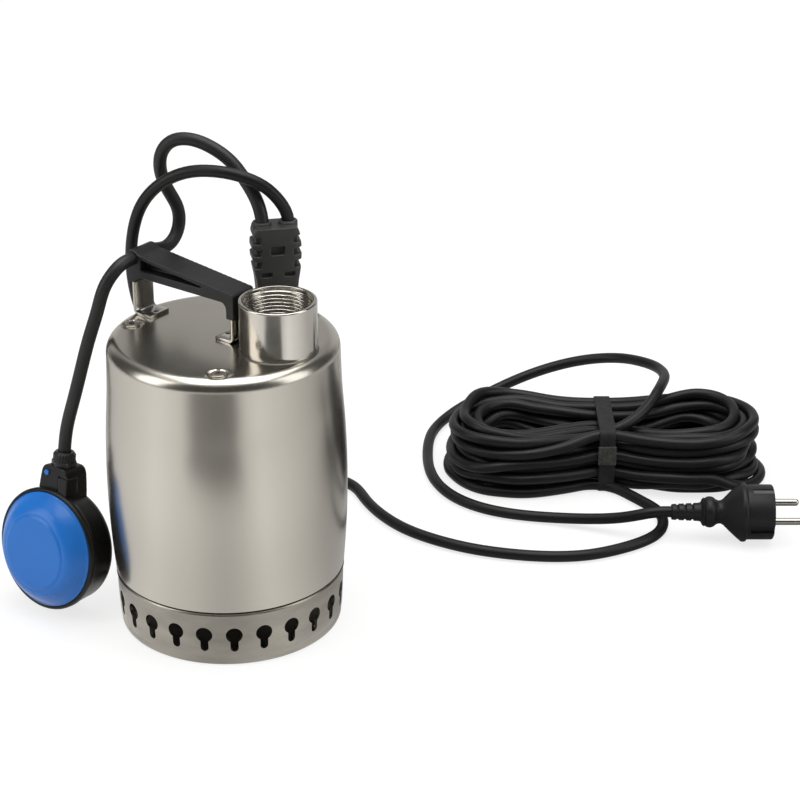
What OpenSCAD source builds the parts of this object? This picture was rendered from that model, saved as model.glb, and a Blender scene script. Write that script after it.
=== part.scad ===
// Submersible drainage pump with a float switch and a tied hank of mains cable.
// Millimetres, +Z up. The origin is on the motor axis, on the plane the pump stands on.
// +X runs along the carrying handle towards the discharge port.

/* [Casing] */
// How far the strainer narrows from the seam down to its foot curl
strainer_draft = 2.2; // [0.5:0.1:5]
// Outer radius of the casing at the seam between strainer and sleeve
seam_r = 71.7; // [69:0.1:74]
// Height of the seam above the floor
seam_z = 37.5; // [34:0.5:42]
// How far the sleeve swells out half way up
sleeve_bulge = 2.8; // [0:0.2:4]
// Height at which the swelling ends
swell_top_z = 157; // [150:1:162]
// Outer radius of the sleeve just under its shoulder
shoulder_r = 71; // [69:0.5:73]
// Height of the flat top plate
crown_z = 190.4; // [186:0.2:196]
// Radius of the rounded shoulder
shoulder_round = 8; // [5:0.5:9]
// Thickness of the drawn stainless sheet
sheet = 1.2; // [0.8:0.1:1.5]

/* [Strainer openings] */
// Number of keyhole openings
keyhole_count = 24; // [16:1:26]
// Diameter of the round part of a keyhole
keyhole_d = 10.3; // [8:0.1:11]
// Height of the centre of the round part
keyhole_z = 22.5; // [20:0.5:24]
// Width of the slot under the round part
keyhole_slot = 5; // [3:0.5:6]
// Height of the lower end of the slot
keyhole_low_z = 12; // [9:0.5:14]
// Angle of the first opening about the axis
keyhole_phase = 9; // [0:1:14]

/* [Discharge port] */
// Distance of the port from the motor axis along X
port_x = 41; // [39:0.5:43]
// Distance of the port from the motor axis along Y
port_y = 2.8; // [-4:0.2:6]
// Outer radius of the threaded socket
socket_r = 23.6; // [23:0.1:25]
// Major radius of the pipe thread in the socket
thread_r = 20.955; // [20:0.005:21.5]
// Height of the socket above the top plate
socket_h = 32; // [24:1:36]

/* [Top screws] */
// Radius of the circle that the three long screws stand on
screw_pitch_r = 58.9; // [58:0.1:60]
// Radius of a screw's shank
screw_r = 2.5; // [2:0.1:3]
// Radius of a screw's pan head
screw_head_r = 4.8; // [4:0.1:5]
// Height of a screw's pan head
screw_head_h = 2.2; // [1.6:0.1:2.6]
// Radius of the pressed dimple round a screw
dimple_r = 6.5; // [5.6:0.1:7]
// Depth of the dimple
dimple_deep = 1.5; // [0.8:0.1:2]

/* [Handle] */
// Width of the handle's steel strap
strap_w = 17; // [12:0.5:18]
// Thickness of the strap
strap_t = 2; // [1.5:0.1:2.5]
// Length of each inward foot from the outer face of its leg
foot_len = 14; // [11:0.5:16]
// Place of the outer face of the left leg
leg_left_x = -65; // [-67:0.5:-62]
// Place of the outer face of the right leg
leg_right_x = 15; // [12:0.5:15.5]
// Clear height under the grip for the fingers
finger_h = 26; // [22:1:30]
// Width of the moulded grip
grip_w = 19.4; // [17.5:0.2:22]
// Thickness of the grip at its thin end by the port
grip_thin = 6.6; // [5.5:0.1:8]
// Thickness of the grip at its thick end by the cable clamp
grip_thick = 14.6; // [13.8:0.1:16]

/* [Cable boot] */
// Place of the boot along X
boot_x = 7; // [5:0.5:8]
// Place of the boot along Y
boot_y = 43; // [41:0.5:44]
// Angle of the boot's wide side about its own axis
boot_turn = 48; // [40:1:56]
// Width of the boot at its widest
boot_w = 30.4; // [29:0.2:32]
// Thickness of the boot from front to back
boot_t = 19; // [17:0.5:21]
// Height of the boot from the seal to the cable collars
boot_h = 58; // [54:1:62]
// Distance between the two cable entries
collar_gap = 16; // [14:0.5:16.5]

/* [Cables] */
// Diameter of the mains cable
mains_d = 7.6; // [7:0.1:7.9]
// Diameter of the float switch cable
lead_d = 8.2; // [7.6:0.1:8.4]

/* [Float] */
// Outer radius of the float shell at its rim
float_r = 39.3; // [38.5:0.1:40]
// Depth of the black back shell
float_back = 24; // [22:0.5:25]
// Height of the domed front cap
float_dome = 13; // [10:0.5:14]
// Radius of the raised flat in the middle of the cap
facet_r = 23.3; // [20:0.1:26]
// Wall thickness of the two float halves
float_wall = 2; // [1.6:0.1:2.4]
// Distance from the float's centre to the top of its neck
neck_top = 54; // [52:0.5:56]
// Height of the gland nut on the neck
gland_h = 9; // [7:0.5:10]
// Radius of the steel ball that trips the switch
ball_r = 6; // [5:0.1:6.4]
// How far the ball can roll in its tube
ball_travel = 14; // [10:0.5:16]

/* [Motor] */
// Outer radius of the sealed motor can
can_r = 54; // [53:0.5:55]
// Outer radius of the rotor core
rotor_r = 29.7; // [28:0.1:31]
// Air gap between rotor and stator
air_gap = 0.5; // [0.3:0.1:0.8]
// Length of the stator and rotor cores
core_len = 50; // [40:1:52]
// Radius of the motor shaft
shaft_r = 6; // [5.6:0.1:7]
// Outer radius of each ball bearing
bearing_r = 16; // [15:0.5:17]
// Width of each ball bearing
bearing_w = 10; // [8:0.5:11]

/* [Pump end] */
// Outer radius of the impeller
impeller_r = 50; // [46:0.5:52]
// Number of impeller vanes
vane_count = 6; // [4:1:8]
// Radius of the impeller's eye
eye_r = 18; // [16:0.5:20]
// Height of the vane passage
vane_h = 8; // [6:0.5:9]
// Radius of the shaft end that carries the impeller
stub_r = 5; // [4.4:0.1:5.4]

/* [Hank of cable] */
// Distance from the hank's middle to the centre of an end bend
hank_half = 68; // [62:1:74]
// Radius of the outer loops at the end bends
hank_r = 42; // [40:1:46]
// Step from one loop to the next across a layer
hank_step = 9; // [8.9:0.1:9.6]
// Step from one layer to the next
hank_pitch = 8.2; // [8.1:0.1:8.8]
// Number of layers in the outer wall of loops
hank_layers = 6; // [4:1:7]
// How far the tie draws each side in
waist = 15; // [10:0.5:16]
// Width of the tie
tie_w = 11; // [8:0.5:13]
// Thickness of the tie
tie_t = 1.4; // [1:0.1:1.6]

/* [Plug] */
// Radius of the plug's round body
plug_r = 18.5; // [18:0.1:19]
// Radius of the flange behind the body
plug_flange_r = 20; // [19.5:0.1:21]
// Length of the plug from cable entry to front face
plug_len = 67.5; // [62:0.5:72]
// Radius of a contact pin
pin_r = 2.4; // [2.3:0.05:2.45]
// Length of a contact pin
pin_len = 19; // [18:0.5:20]
// Distance between the two pins
pin_gap = 19; // [18.5:0.5:19.5]

/* [Hidden] */
$fn = 64;

// Colours
steel = [0.74, 0.72, 0.69];
bright_steel = [0.82, 0.81, 0.79];
black_plastic = [0.10, 0.10, 0.11];
black_rubber = [0.07, 0.07, 0.07];
float_blue = [0.15, 0.42, 0.78];
copper = [0.72, 0.40, 0.20];
iron = [0.45, 0.45, 0.47];
brass = [0.78, 0.64, 0.33];

// Named clearances
slip = 0.05;      // running or sliding fit, per side
loose = 0.3;      // parts that lie beside each other without a fit
cut = 1;          // how far a cutter reaches past the face that it opens

// ---------- Shared shapes ----------

module tube(r_out, r_in, h) {
    difference() {
        cylinder(r = r_out, h = h);
        translate([0, 0, -cut]) cylinder(r = r_in, h = h + 2 * cut);
    }
}

// A rod or bore that runs along X, centred on its length.
module rod_x(r, len) {
    rotate([0, 90, 0]) cylinder(r = r, h = len, center = true);
}

// A rod or bore that runs along Y, centred on its length.
module rod_y(r, len) {
    rotate([90, 0, 0]) cylinder(r = r, h = len, center = true);
}

// A rectangle with rounded corners, centred, made of exact arcs.
module round_rect(w, h, r) {
    square([w - 2 * r, h], center = true);
    square([w, h - 2 * r], center = true);
    for (x = [-1, 1]) for (y = [-1, 1])
        translate([x * (w / 2 - r), y * (h / 2 - r)]) circle(r = r);
}

// Points of an arc in a plane, from one angle to another.
function arc(cx, cy, r, a0, a1, n) =
    [for (i = [0 : n]) let (a = a0 + (a1 - a0) * i / n) [cx + r * cos(a), cy + r * sin(a)]];

function unit(v) = v / norm(v);

// Direction of a path at each of its points.
function headings(p) = [for (i = [0 : len(p) - 1])
    unit(p[min(i + 1, len(p) - 1)] - p[max(i - 1, 0)])];

// Side vectors carried along the path without twist.
function sides_of(t, side, i = 0, done = []) =
    i == len(t) ? done :
    let (s = unit(side - (side * t[i]) * t[i]))
    sides_of(t, s, i + 1, concat(done, [s]));

// Corner points of a round tube swept along a path, ring by ring.
function ring_points(p, r, n, side) =
    let (t = headings(p), s = sides_of(t, side))
    [for (i = [0 : len(p) - 1]) for (j = [0 : n - 1])
        let (a = 360 * (j + 0.5) / n)
        p[i] + r * (cos(a) * s[i] + sin(a) * cross(t[i], s[i]))];

// Triangles that join the rings and close both ends.
function ring_faces(rings, n) = concat(
    [for (i = [0 : rings - 2]) for (j = [0 : n - 1])
        let (k = (j + 1) % n) [i * n + j, i * n + k, (i + 1) * n + k]],
    [for (i = [0 : rings - 2]) for (j = [0 : n - 1])
        let (k = (j + 1) % n) [i * n + j, (i + 1) * n + k, (i + 1) * n + j]],
    [for (j = [1 : n - 2]) [0, j + 1, j]],
    [for (j = [1 : n - 2]) let (b = (rings - 1) * n) [b, b + j, b + j + 1]]);

module swept_tube(path, d, n = 8, side = [0, 0, 1]) {
    pts = ring_points(path, d / 2, n, side);
    polyhedron(points = pts, faces = [for (f = ring_faces(len(path), n)) [f[2], f[1], f[0]]]);
}

// Length of a path, point to point.
function path_length(p, i = 0) =
    i >= len(p) - 1 ? 0 : norm(p[i + 1] - p[i]) + path_length(p, i + 1);

// ---------- Casing ----------

sleeve_foot_z = seam_z + 0.5;
swell_mid_z = (sleeve_foot_z + swell_top_z) / 2;
swell_half = (swell_top_z - sleeve_foot_z) / 2;
shoulder_z = crown_z - shoulder_round;
swell_steps = 12;
shoulder_steps = 6;

function swell(z) = seam_r + sleeve_bulge * (1 - pow((z - swell_mid_z) / swell_half, 2));

// Outline of the sleeve set in from its outer surface by t.
function sleeve_line(t) = concat(
    [for (i = [0 : swell_steps])
        let (z = sleeve_foot_z + 2 * swell_half * i / swell_steps) [swell(z) - t, z]],
    arc(shoulder_r - shoulder_round, shoulder_z, shoulder_round - t, 0, 90, shoulder_steps),
    [[0, crown_z - t]]);

function reversed(list) = [for (i = [len(list) - 1 : -1 : 0]) list[i]];

screw_angles = [-52.6, 67, 200.9];

module at_screws() {
    for (a = screw_angles) rotate([0, 0, a]) translate([screw_pitch_r, 0, 0]) children();
}

plate_under_z = crown_z - sheet;
dimple_z = crown_z - dimple_deep;
dimple_under_z = dimple_z - sheet;
screw_hole_r = screw_r + 0.2;
duct_r = 8;
port_hole_r = thread_r - 1.5;

module sleeve() {
    color(steel) difference() {
        union() {
            rotate_extrude() polygon(concat(sleeve_line(0), reversed(sleeve_line(sheet))));
            at_screws() translate([0, 0, dimple_under_z])
                cylinder(r = dimple_r + sheet, h = plate_under_z - dimple_under_z + sheet / 5);
        }
        at_screws() translate([0, 0, dimple_z]) cylinder(r = dimple_r, h = dimple_deep + cut);
        at_screws() translate([0, 0, dimple_under_z - cut])
            cylinder(r = screw_hole_r, h = sheet + 2 * cut);
        translate([port_x, port_y, plate_under_z - cut])
            cylinder(r = port_hole_r, h = sheet + 2 * cut);
        translate([boot_x, boot_y, plate_under_z - cut])
            cylinder(r = duct_r, h = sheet + 2 * cut);
    }
}

strainer_foot_r = seam_r - strainer_draft;
strainer_lip_r = seam_r - 6;
bead_z = 4.8;
bead_deep = 0.7;

// Outer line of the strainer, from the floor up to the seam.
strainer_out = concat(
    [[0, 0], [strainer_foot_r - 2.6, 0]],
    arc(strainer_foot_r - 2.2, 2.2, 2.2, -70, 0, 4),
    [[strainer_foot_r, bead_z - 0.6], [strainer_foot_r - bead_deep, bead_z],
     [strainer_foot_r + 0.5, bead_z + 1],
     [(strainer_foot_r + seam_r) / 2 + 0.3, keyhole_z],
     [seam_r - 0.1, seam_z - 2]],
    arc(seam_r - 1.3, seam_z - 1.2, 1.2, 0, 90, 4));
// Inner line, one sheet thickness in, from the seam down to the floor.
strainer_in = [
    [strainer_lip_r, seam_z], [strainer_lip_r, seam_z - sheet],
    [seam_r - sheet - 0.6, seam_z - sheet], [(strainer_foot_r + seam_r) / 2 + 0.3 - sheet, keyhole_z],
    [strainer_foot_r - bead_deep - sheet, bead_z + 1], [strainer_foot_r - bead_deep - sheet, 3.2],
    [strainer_foot_r - 3.6, sheet + 0.2], [0, sheet + 0.2]];

module keyhole() {
    reach = 2 * strainer_foot_r;
    half = (strainer_foot_r - 10);
    translate([half, 0, keyhole_z]) rotate([0, 90, 0]) cylinder(d = keyhole_d, h = reach);
    translate([half, 0, keyhole_low_z + keyhole_slot / 2])
        rotate([0, 90, 0]) cylinder(d = keyhole_slot, h = reach);
    translate([half, -keyhole_slot / 2, keyhole_low_z + keyhole_slot / 2])
        cube([reach, keyhole_slot, keyhole_z - keyhole_low_z - keyhole_slot / 2]);
}

module strainer() {
    color(steel) difference() {
        rotate_extrude() polygon(concat(strainer_out, strainer_in));
        for (i = [0 : keyhole_count - 1])
            rotate([0, 0, keyhole_phase + 360 * i / keyhole_count]) keyhole();
    }
}

socket_chamfer = 0.9;
thread_lead = 1;

module discharge_socket() {
    color(bright_steel) translate([port_x, port_y, crown_z]) rotate_extrude() polygon([
        [thread_r, 0], [socket_r, 0], [socket_r, socket_h - socket_chamfer],
        [socket_r - socket_chamfer, socket_h], [thread_r + thread_lead, socket_h],
        [thread_r, socket_h - thread_lead]]);
}

housing_flange_z = sleeve_foot_z;
housing_flange_h = 6;
housing_top_z = housing_flange_z + housing_flange_h;

module tie_screws() {
    shank = dimple_z - housing_flange_z - 1;
    color(bright_steel) at_screws() {
        difference() {
            translate([0, 0, dimple_z]) rotate_extrude() polygon(concat(
                [[0, 0], [screw_head_r, 0], [screw_head_r, screw_head_h / 2]],
                arc(screw_head_r - screw_head_h / 2, screw_head_h / 2, screw_head_h / 2, 0, 90, 4),
                [[0, screw_head_h]]));
            translate([0, 0, dimple_z + screw_head_h / 2]) cylinder(r = 2, h = screw_head_h, $fn = 6);
        }
        translate([0, 0, dimple_z - shank]) cylinder(r = screw_r, h = shank);
    }
}

// ---------- Handle ----------

grip_z = crown_z + finger_h;
strap_top_z = grip_z + 1.2 + strap_t;
strap_bend = 4;
clamp_z = grip_z + 11.6;
clamp_x = leg_left_x + 2;
clamp_wall = 2.3;
clamp_r = lead_d / 2 + slip;
grip_left_x = clamp_x - clamp_r - clamp_wall;
grip_right_x = leg_right_x + 1.8;
wedge_left_x = leg_left_x + 8;
left_collar_z = grip_z - 4;
right_collar_z = grip_z - 10;
locating_hole_r = 1.6;

// Side view of the strap, x across and y up, seen from -Y.
module strap_line() {
    w = leg_right_x - leg_left_x;
    mid = (leg_right_x + leg_left_x) / 2;
    h = strap_top_z - crown_z;
    difference() {
        translate([mid, crown_z + h / 2]) round_rect(w, h, strap_bend);
        translate([mid, crown_z + h / 2])
            round_rect(w - 2 * strap_t, h - 2 * strap_t, strap_bend - strap_t);
        translate([leg_left_x + foot_len, crown_z - cut])
            square([w - 2 * foot_len, strap_t + 2 * cut]);
    }
}

module handle_strap() {
    color(bright_steel) difference() {
        translate([0, strap_w / 2, 0]) rotate([90, 0, 0]) linear_extrude(strap_w) strap_line();
        for (x = [leg_left_x + foot_len - 3, leg_right_x - foot_len + 3])
            translate([x, 0, crown_z - cut])
                cylinder(r = locating_hole_r, h = strap_t + 2 * cut);
    }
}

pocket_left_x = wedge_left_x + 1.5;
pocket_len = 44.5;
pocket_right_x = pocket_left_x + pocket_len;
pocket_low_z = grip_z + 5.5;
pocket_high_z = grip_z + grip_thick - 2.7;
pocket_deep = 6.5;

collar_wall = 2;
inner_round = 4;

module grip_outline() {
    round = 1.5;
    left_in = leg_left_x + strap_t + collar_wall;
    right_in = leg_right_x - strap_t - collar_wall;
    polygon(concat(
        [[grip_left_x + 1, clamp_z], [grip_left_x + 1.5, left_collar_z], [left_in, left_collar_z]],
        arc(left_in + inner_round, grip_z - inner_round, inner_round, 180, 90, 4),
        arc(right_in - inner_round, grip_z - inner_round, inner_round, 90, 0, 4),
        [[right_in, right_collar_z], [grip_right_x, right_collar_z]],
        arc(grip_right_x - round, grip_z + grip_thin - round, round, 0, 80, 3),
        [[wedge_left_x, grip_z + grip_thick], [clamp_x, clamp_z + clamp_r + clamp_wall]]));
}

module handle_grip() {
    strap_gap = 0.02;
    color(black_plastic) difference() {
        union() {
            translate([0, grip_w / 2, 0]) rotate([90, 0, 0]) linear_extrude(grip_w) grip_outline();
            translate([clamp_x, 0, clamp_z]) rod_y(clamp_r + clamp_wall, grip_w);
        }
        // the steel strap runs through the moulding
        translate([0, strap_w / 2 + strap_gap, 0]) rotate([90, 0, 0])
            linear_extrude(strap_w + 2 * strap_gap) strap_line();
        // the float cable is threaded through the clamp
        translate([clamp_x, 0, clamp_z]) rod_y(clamp_r, grip_w + 2 * cut);
        // wedge-shaped pockets that lighten both faces
        for (side = [-1, 1]) translate([0, side * (grip_w / 2 - pocket_deep / 2 + cut / 2), 0])
            rotate([90, 0, 0]) linear_extrude(pocket_deep + cut, center = true)
                polygon([[pocket_left_x, pocket_low_z], [pocket_right_x, pocket_low_z + 0.4],
                         [pocket_left_x, pocket_high_z]]);
    }
}

// ---------- Cable boot ----------

boot_seal_h = 2;
boot_z = crown_z + boot_seal_h;
collar_h = 3.6;

module at_boot() {
    translate([boot_x, boot_y, boot_z]) rotate([0, 0, boot_turn]) children();
}

module at_collars() {
    for (x = [-collar_gap / 2, collar_gap / 2]) translate([x, 0, 0]) children();
}

// Half widths of the boot at heights up its length.
function boot_side(s) = [
    [s * 0.36 * boot_w, 0], [s * 0.36 * boot_w, 0.10 * boot_h],
    [s * 0.40 * boot_w, 0.22 * boot_h], [s * 0.42 * boot_w, 0.40 * boot_h],
    [s * 0.48 * boot_w, 0.55 * boot_h], [s * 0.5 * boot_w, 0.68 * boot_h],
    [s * 0.485 * boot_w, 0.84 * boot_h], [s * 0.44 * boot_w, 0.95 * boot_h]];

notch_rows = [0.46, 0.59, 0.72, 0.85];
notch_deep = 3;
notch_nip = 1.3;
notch_h = 3;
notch_in = boot_w * 0.3;
mark_w = 8;
mark_h = 5;

// Gripping notches on both edges, two low ones in front and a small recess between them.
module boot_grooves() {
    edge = boot_w * 0.47 - notch_nip;
    for (s = [-1, 1]) for (h = notch_rows) translate([0, 0, h * boot_h]) {
        translate([s * (edge + boot_w / 2), 0, 0]) cube([boot_w, boot_t + cut, notch_h], center = true);
        for (f = [-1, 1]) translate([s * (notch_in + boot_w / 2), f * boot_t / 2, 0])
            cube([boot_w, 2 * notch_deep, notch_h], center = true);
    }
    for (s = [-1, 1]) translate([s * boot_w * 0.24, -boot_t / 2, 0.33 * boot_h])
        cube([boot_w * 0.26, notch_deep, notch_h], center = true);
    translate([0, -boot_t / 2, 0.74 * boot_h]) cube([mark_w, notch_deep, mark_h], center = true);
}

module cable_boot() {
    color(black_rubber) at_boot() difference() {
        union() {
            intersection() {
                translate([0, boot_t / 2, 0]) rotate([90, 0, 0]) linear_extrude(boot_t)
                    polygon(concat(boot_side(1), reversed(boot_side(-1))));
                linear_extrude(boot_h) round_rect(boot_w + 1, boot_t, 6);
            }
            at_collars() translate([0, 0, boot_h * 0.94])
                cylinder(r = lead_d / 2 + 2.6, h = boot_h * 0.06 + collar_h);
            cylinder(r = duct_r + 3, h = 5);
        }
        boot_grooves();
        // cores run down through the middle to the motor
        translate([0, 0, -cut]) cylinder(r = duct_r - 3, h = boot_h * 0.5 + cut);
        translate([-collar_gap / 2, 0, boot_h * 0.8])
            cylinder(r = lead_d / 2 + slip, h = boot_h * 0.2 + collar_h + cut);
        translate([collar_gap / 2, 0, boot_h * 0.8])
            cylinder(r = mains_d / 2 + slip, h = boot_h * 0.2 + collar_h + cut);
    }
}

module boot_seal() {
    color(black_rubber) translate([boot_x, boot_y, crown_z]) tube(duct_r + 3, duct_r, boot_seal_h);
}

// ---------- Pump end ----------

cover_z = 24;
cover_h = 3;
housing_wall_r = impeller_r + 7;
impeller_z = cover_z + cover_h + 0.8;
plate_h = 2;
impeller_top_z = impeller_z + 2 * plate_h + vane_h;
housing_roof_z = housing_top_z - 3;
hub_r = 10;
passage_count = 8;

module suction_cover() {
    color(black_plastic) translate([0, 0, cover_z]) difference() {
        union() {
            cylinder(r = housing_wall_r + 3, h = cover_h);
            translate([0, 0, -4]) cylinder(r = eye_r + 5, h = 4 + cover_h);
        }
        translate([0, 0, -4 - cut]) cylinder(r = eye_r + 1, h = 4 + cover_h + 2 * cut);
    }
}

// One backward curved vane, cut from a ring.
module vane_line() {
    vane_r = 34;
    vane_t = 2.4;
    intersection() {
        difference() {
            circle(r = impeller_r - 0.5);
            circle(r = eye_r - 3);
        }
        translate([vane_r * 0.62, -vane_r * 0.74]) difference() {
            circle(r = vane_r);
            circle(r = vane_r - vane_t);
        }
        translate([0, -vane_t]) square([impeller_r + 10, impeller_r + 10]);
    }
}

module impeller() {
    color(black_plastic) difference() {
        union() {
            translate([0, 0, impeller_z]) tube(impeller_r, eye_r, plate_h);
            translate([0, 0, impeller_z + plate_h]) linear_extrude(vane_h)
                for (i = [0 : vane_count - 1]) rotate([0, 0, 360 * i / vane_count]) vane_line();
            translate([0, 0, impeller_z + plate_h + vane_h]) cylinder(r = impeller_r, h = plate_h);
            translate([0, 0, impeller_z + plate_h]) cylinder(r = hub_r, h = vane_h + plate_h + 1);
        }
        translate([0, 0, impeller_z - cut]) cylinder(r = stub_r + slip, h = 40);
    }
}

nut_h = 5;
nut_r = 9.2;
nut_z = impeller_z + plate_h - nut_h;

module impeller_nut() {
    color(brass) translate([0, 0, nut_z]) difference() {
        cylinder(r = nut_r, h = nut_h, $fn = 6);
        translate([0, 0, -cut]) cylinder(r = stub_r + slip, h = nut_h + 2 * cut);
    }
}

neck_r = 18;
neck_h = 5;
seal_groove_z = housing_flange_z + 2;
ring_deep = 3.3;
ring_h = 3;
passage_r = 3.6;

module pump_housing() {
    groove_r = seam_r - 0.8 - ring_deep;
    color(black_plastic) difference() {
        union() {
            translate([0, 0, seam_z]) cylinder(r = seam_r - 0.8, h = sleeve_foot_z - seam_z);
            translate([0, 0, sleeve_foot_z])
                cylinder(r = seam_r - sheet - loose, h = housing_flange_h);
            translate([0, 0, cover_z + cover_h])
                cylinder(r = housing_wall_r + 3, h = housing_top_z - cover_z - cover_h);
            translate([0, 0, housing_top_z]) cylinder(r = neck_r, h = neck_h);
        }
        // volute chamber round the impeller
        translate([0, 0, cover_z + cover_h - cut])
            cylinder(r = housing_wall_r, h = housing_roof_z - cover_z - cover_h + cut);
        // bore round the shaft seal
        translate([0, 0, housing_roof_z - cut]) cylinder(r = seat_r + slip, h = neck_h + housing_flange_h);
        // ways up into the space round the motor
        for (i = [0 : passage_count - 1]) rotate([0, 0, 22.5 + 360 * i / passage_count])
            translate([impeller_r, 0, housing_roof_z - cut]) cylinder(r = passage_r, h = neck_h);
        // groove for the ring that seals the sleeve
        translate([0, 0, seal_groove_z]) tube(seam_r + cut, groove_r, ring_h);
        at_screws() translate([0, 0, housing_flange_z - cut])
            cylinder(r = screw_r + slip, h = housing_flange_h + 2 * cut);
    }
}

module housing_seal() {
    ring_r = 1.35;
    color(black_rubber) translate([0, 0, seal_groove_z + ring_h / 2]) rotate_extrude()
        translate([seam_r - 0.8 - ring_deep + ring_r + slip, 0]) circle(r = ring_r, $fn = 24);
}

// ---------- Shaft and its seal ----------

seat_r = 12;
seat_h = 4;
chamber_z = housing_top_z + neck_h;
seat_z = chamber_z - seat_h;
chamber_h = 22;
chamber_top_z = chamber_z + chamber_h;
lower_bearing_z = chamber_top_z - bearing_w;
winding_h = 8.5;
capacitor_r = 5;
core_z = chamber_top_z + winding_h + 14.5;
core_top_z = core_z + core_len;
motor_top_z = core_top_z + winding_h + 0.5 + 2 * capacitor_r + 1;
upper_bearing_z = motor_top_z - bearing_w - 2;
stub_z = nut_z - 1.5;
shoulder_step_z = impeller_top_z + 1;

module seal_seat() {
    color([0.85, 0.85, 0.82]) translate([0, 0, seat_z]) tube(seat_r, shaft_r + 0.8, seat_h);
}

module seal_head() {
    head_h = seat_z - loose - shoulder_step_z;
    color([0.25, 0.25, 0.26]) translate([0, 0, shoulder_step_z])
        tube(shaft_r + 3.2, shaft_r + slip, head_h);
}

module shaft() {
    color(bright_steel) {
        translate([0, 0, stub_z]) cylinder(r = stub_r, h = shoulder_step_z - stub_z);
        translate([0, 0, shoulder_step_z])
            cylinder(r = shaft_r, h = motor_top_z - 2.5 - shoulder_step_z);
    }
}

module rotor_core() {
    ring_h = 5;
    color(iron) translate([0, 0, core_z]) tube(rotor_r, shaft_r + slip, core_len);
    color([0.75, 0.75, 0.77]) for (z = [core_z - ring_h, core_top_z])
        translate([0, 0, z]) tube(rotor_r - 1, rotor_r - 9, ring_h);
}

module bearing(z) {
    color(bright_steel) translate([0, 0, z]) tube(bearing_r, shaft_r + slip, bearing_w);
}

module lower_bearing() { bearing(lower_bearing_z); }

module upper_bearing() { bearing(upper_bearing_z); }

// ---------- Motor ----------

can_wall = 1;
stator_r = can_r - can_wall - slip;
bore_r = rotor_r + air_gap;
spigot_h = 6;

module oil_chamber() {
    color(iron) difference() {
        union() {
            translate([0, 0, chamber_z]) cylinder(r = can_r, h = chamber_h - spigot_h);
            translate([0, 0, chamber_z]) cylinder(r = can_r - can_wall - slip, h = chamber_h);
        }
        // oil space round the seal, open to the shaft
        rotate_extrude() polygon([[shaft_r, chamber_z + 4], [can_r - 5, chamber_z + 4],
            [can_r - 5, chamber_top_z - 5], [bearing_r + 5, chamber_top_z - 5],
            [bearing_r + 5, lower_bearing_z - 3], [shaft_r, lower_bearing_z - 3]]);
        translate([0, 0, chamber_z - cut]) cylinder(r = shaft_r + 2, h = chamber_h + 2 * cut);
        translate([0, 0, lower_bearing_z]) cylinder(r = bearing_r + slip, h = bearing_w + cut);
    }
}

module motor_can() {
    foot_z = chamber_top_z - spigot_h;
    color(steel) translate([0, 0, foot_z]) tube(can_r, can_r - can_wall, motor_top_z - foot_z);
}

slot_count = 24;

module stator_core() {
    tooth_w = 2.6;
    slot_out_r = 42;
    color(iron) translate([0, 0, core_z]) linear_extrude(core_len) difference() {
        circle(r = stator_r);
        circle(r = bore_r);
        for (i = [0 : slot_count - 1]) rotate([0, 0, 360 * i / slot_count])
            translate([bore_r + 2, -tooth_w / 2]) square([slot_out_r - bore_r - 2, tooth_w]);
    }
}

module stator_windings() {
    color(copper) for (z = [core_z - winding_h, core_top_z]) translate([0, 0, z]) rotate_extrude()
        translate([(bore_r + can_r) / 2 - 1, winding_h / 2]) round_rect(16, winding_h, 3);
}

cover_top_z = motor_top_z + 4;
seal_gap = 0.05;

module motor_cover() {
    color(iron) difference() {
        union() {
            translate([0, 0, motor_top_z]) cylinder(r = can_r, h = 4);
            translate([0, 0, motor_top_z - spigot_h])
                cylinder(r = can_r - can_wall - slip, h = spigot_h);
            translate([0, 0, upper_bearing_z]) cylinder(r = bearing_r + 4, h = bearing_w);
        }
        translate([0, 0, motor_top_z - spigot_h - cut])
            tube(can_r - 6, bearing_r + 4, spigot_h - 1 + cut);
        translate([0, 0, upper_bearing_z - cut])
            cylinder(r = bearing_r + slip, h = bearing_w + cut);
        translate([0, 0, upper_bearing_z]) cylinder(r = shaft_r + 2, h = bearing_w + 1);
        // groove for the ring that seals the can
        translate([0, 0, motor_top_z - 4.5]) tube(can_r, can_r - can_wall - 2.2, 2.2);
        translate([boot_x, boot_y, motor_top_z - 5]) cylinder(r = duct_r - 2, h = 20);
    }
}

module cover_seal() {
    ring_r = 1;
    color(black_rubber) translate([0, 0, motor_top_z - 3.4]) rotate_extrude()
        translate([can_r - can_wall - 2.2 + ring_r + seal_gap, 0]) circle(r = ring_r, $fn = 24);
}

capacitor_len = 40;
capacitor_x = (bearing_r + 4 + can_r - 6) / 2 - 1;

module capacitor() {
    color([0.85, 0.85, 0.83]) translate([-capacitor_x, 0, motor_top_z - 1 - capacitor_r])
        rod_y(capacitor_r, capacitor_len);
}

module cable_duct() {
    color(black_rubber) translate([boot_x, boot_y, cover_top_z])
        tube(duct_r + 2.5, duct_r - 2, plate_under_z - cover_top_z);
}

// ---------- Float ----------

float_at = [-92.6, -68.5, 43.8];
float_lean = -10;

module at_float() {
    translate(float_at) rotate([float_lean, 0, 0]) children();
}

// A point of the float's own frame in the frame of the pump.
function float_point(p) = float_at + [p[0],
    p[1] * cos(float_lean) - p[2] * sin(float_lean),
    p[1] * sin(float_lean) + p[2] * cos(float_lean)];

neck_y = 10;
rim_h = 2.2;
cap_r = float_r - 1.5;
shell_deep_r = float_r - 5.5;

module float_turned() {
    rotate([90, 0, 0]) rotate_extrude() children();
}

// Half section of the back shell, set in by t. The back is at negative height.
function shell_line(t) = concat(
    [[float_r - t, 0], [float_r - t, -rim_h], [float_r - 0.8 - t, -rim_h - 0.6]],
    arc(shell_deep_r - 4, -float_back + 9.5, 9 - t, 0, -90, 6),
    [[0, -float_back + 0.5 + t]]);

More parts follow.
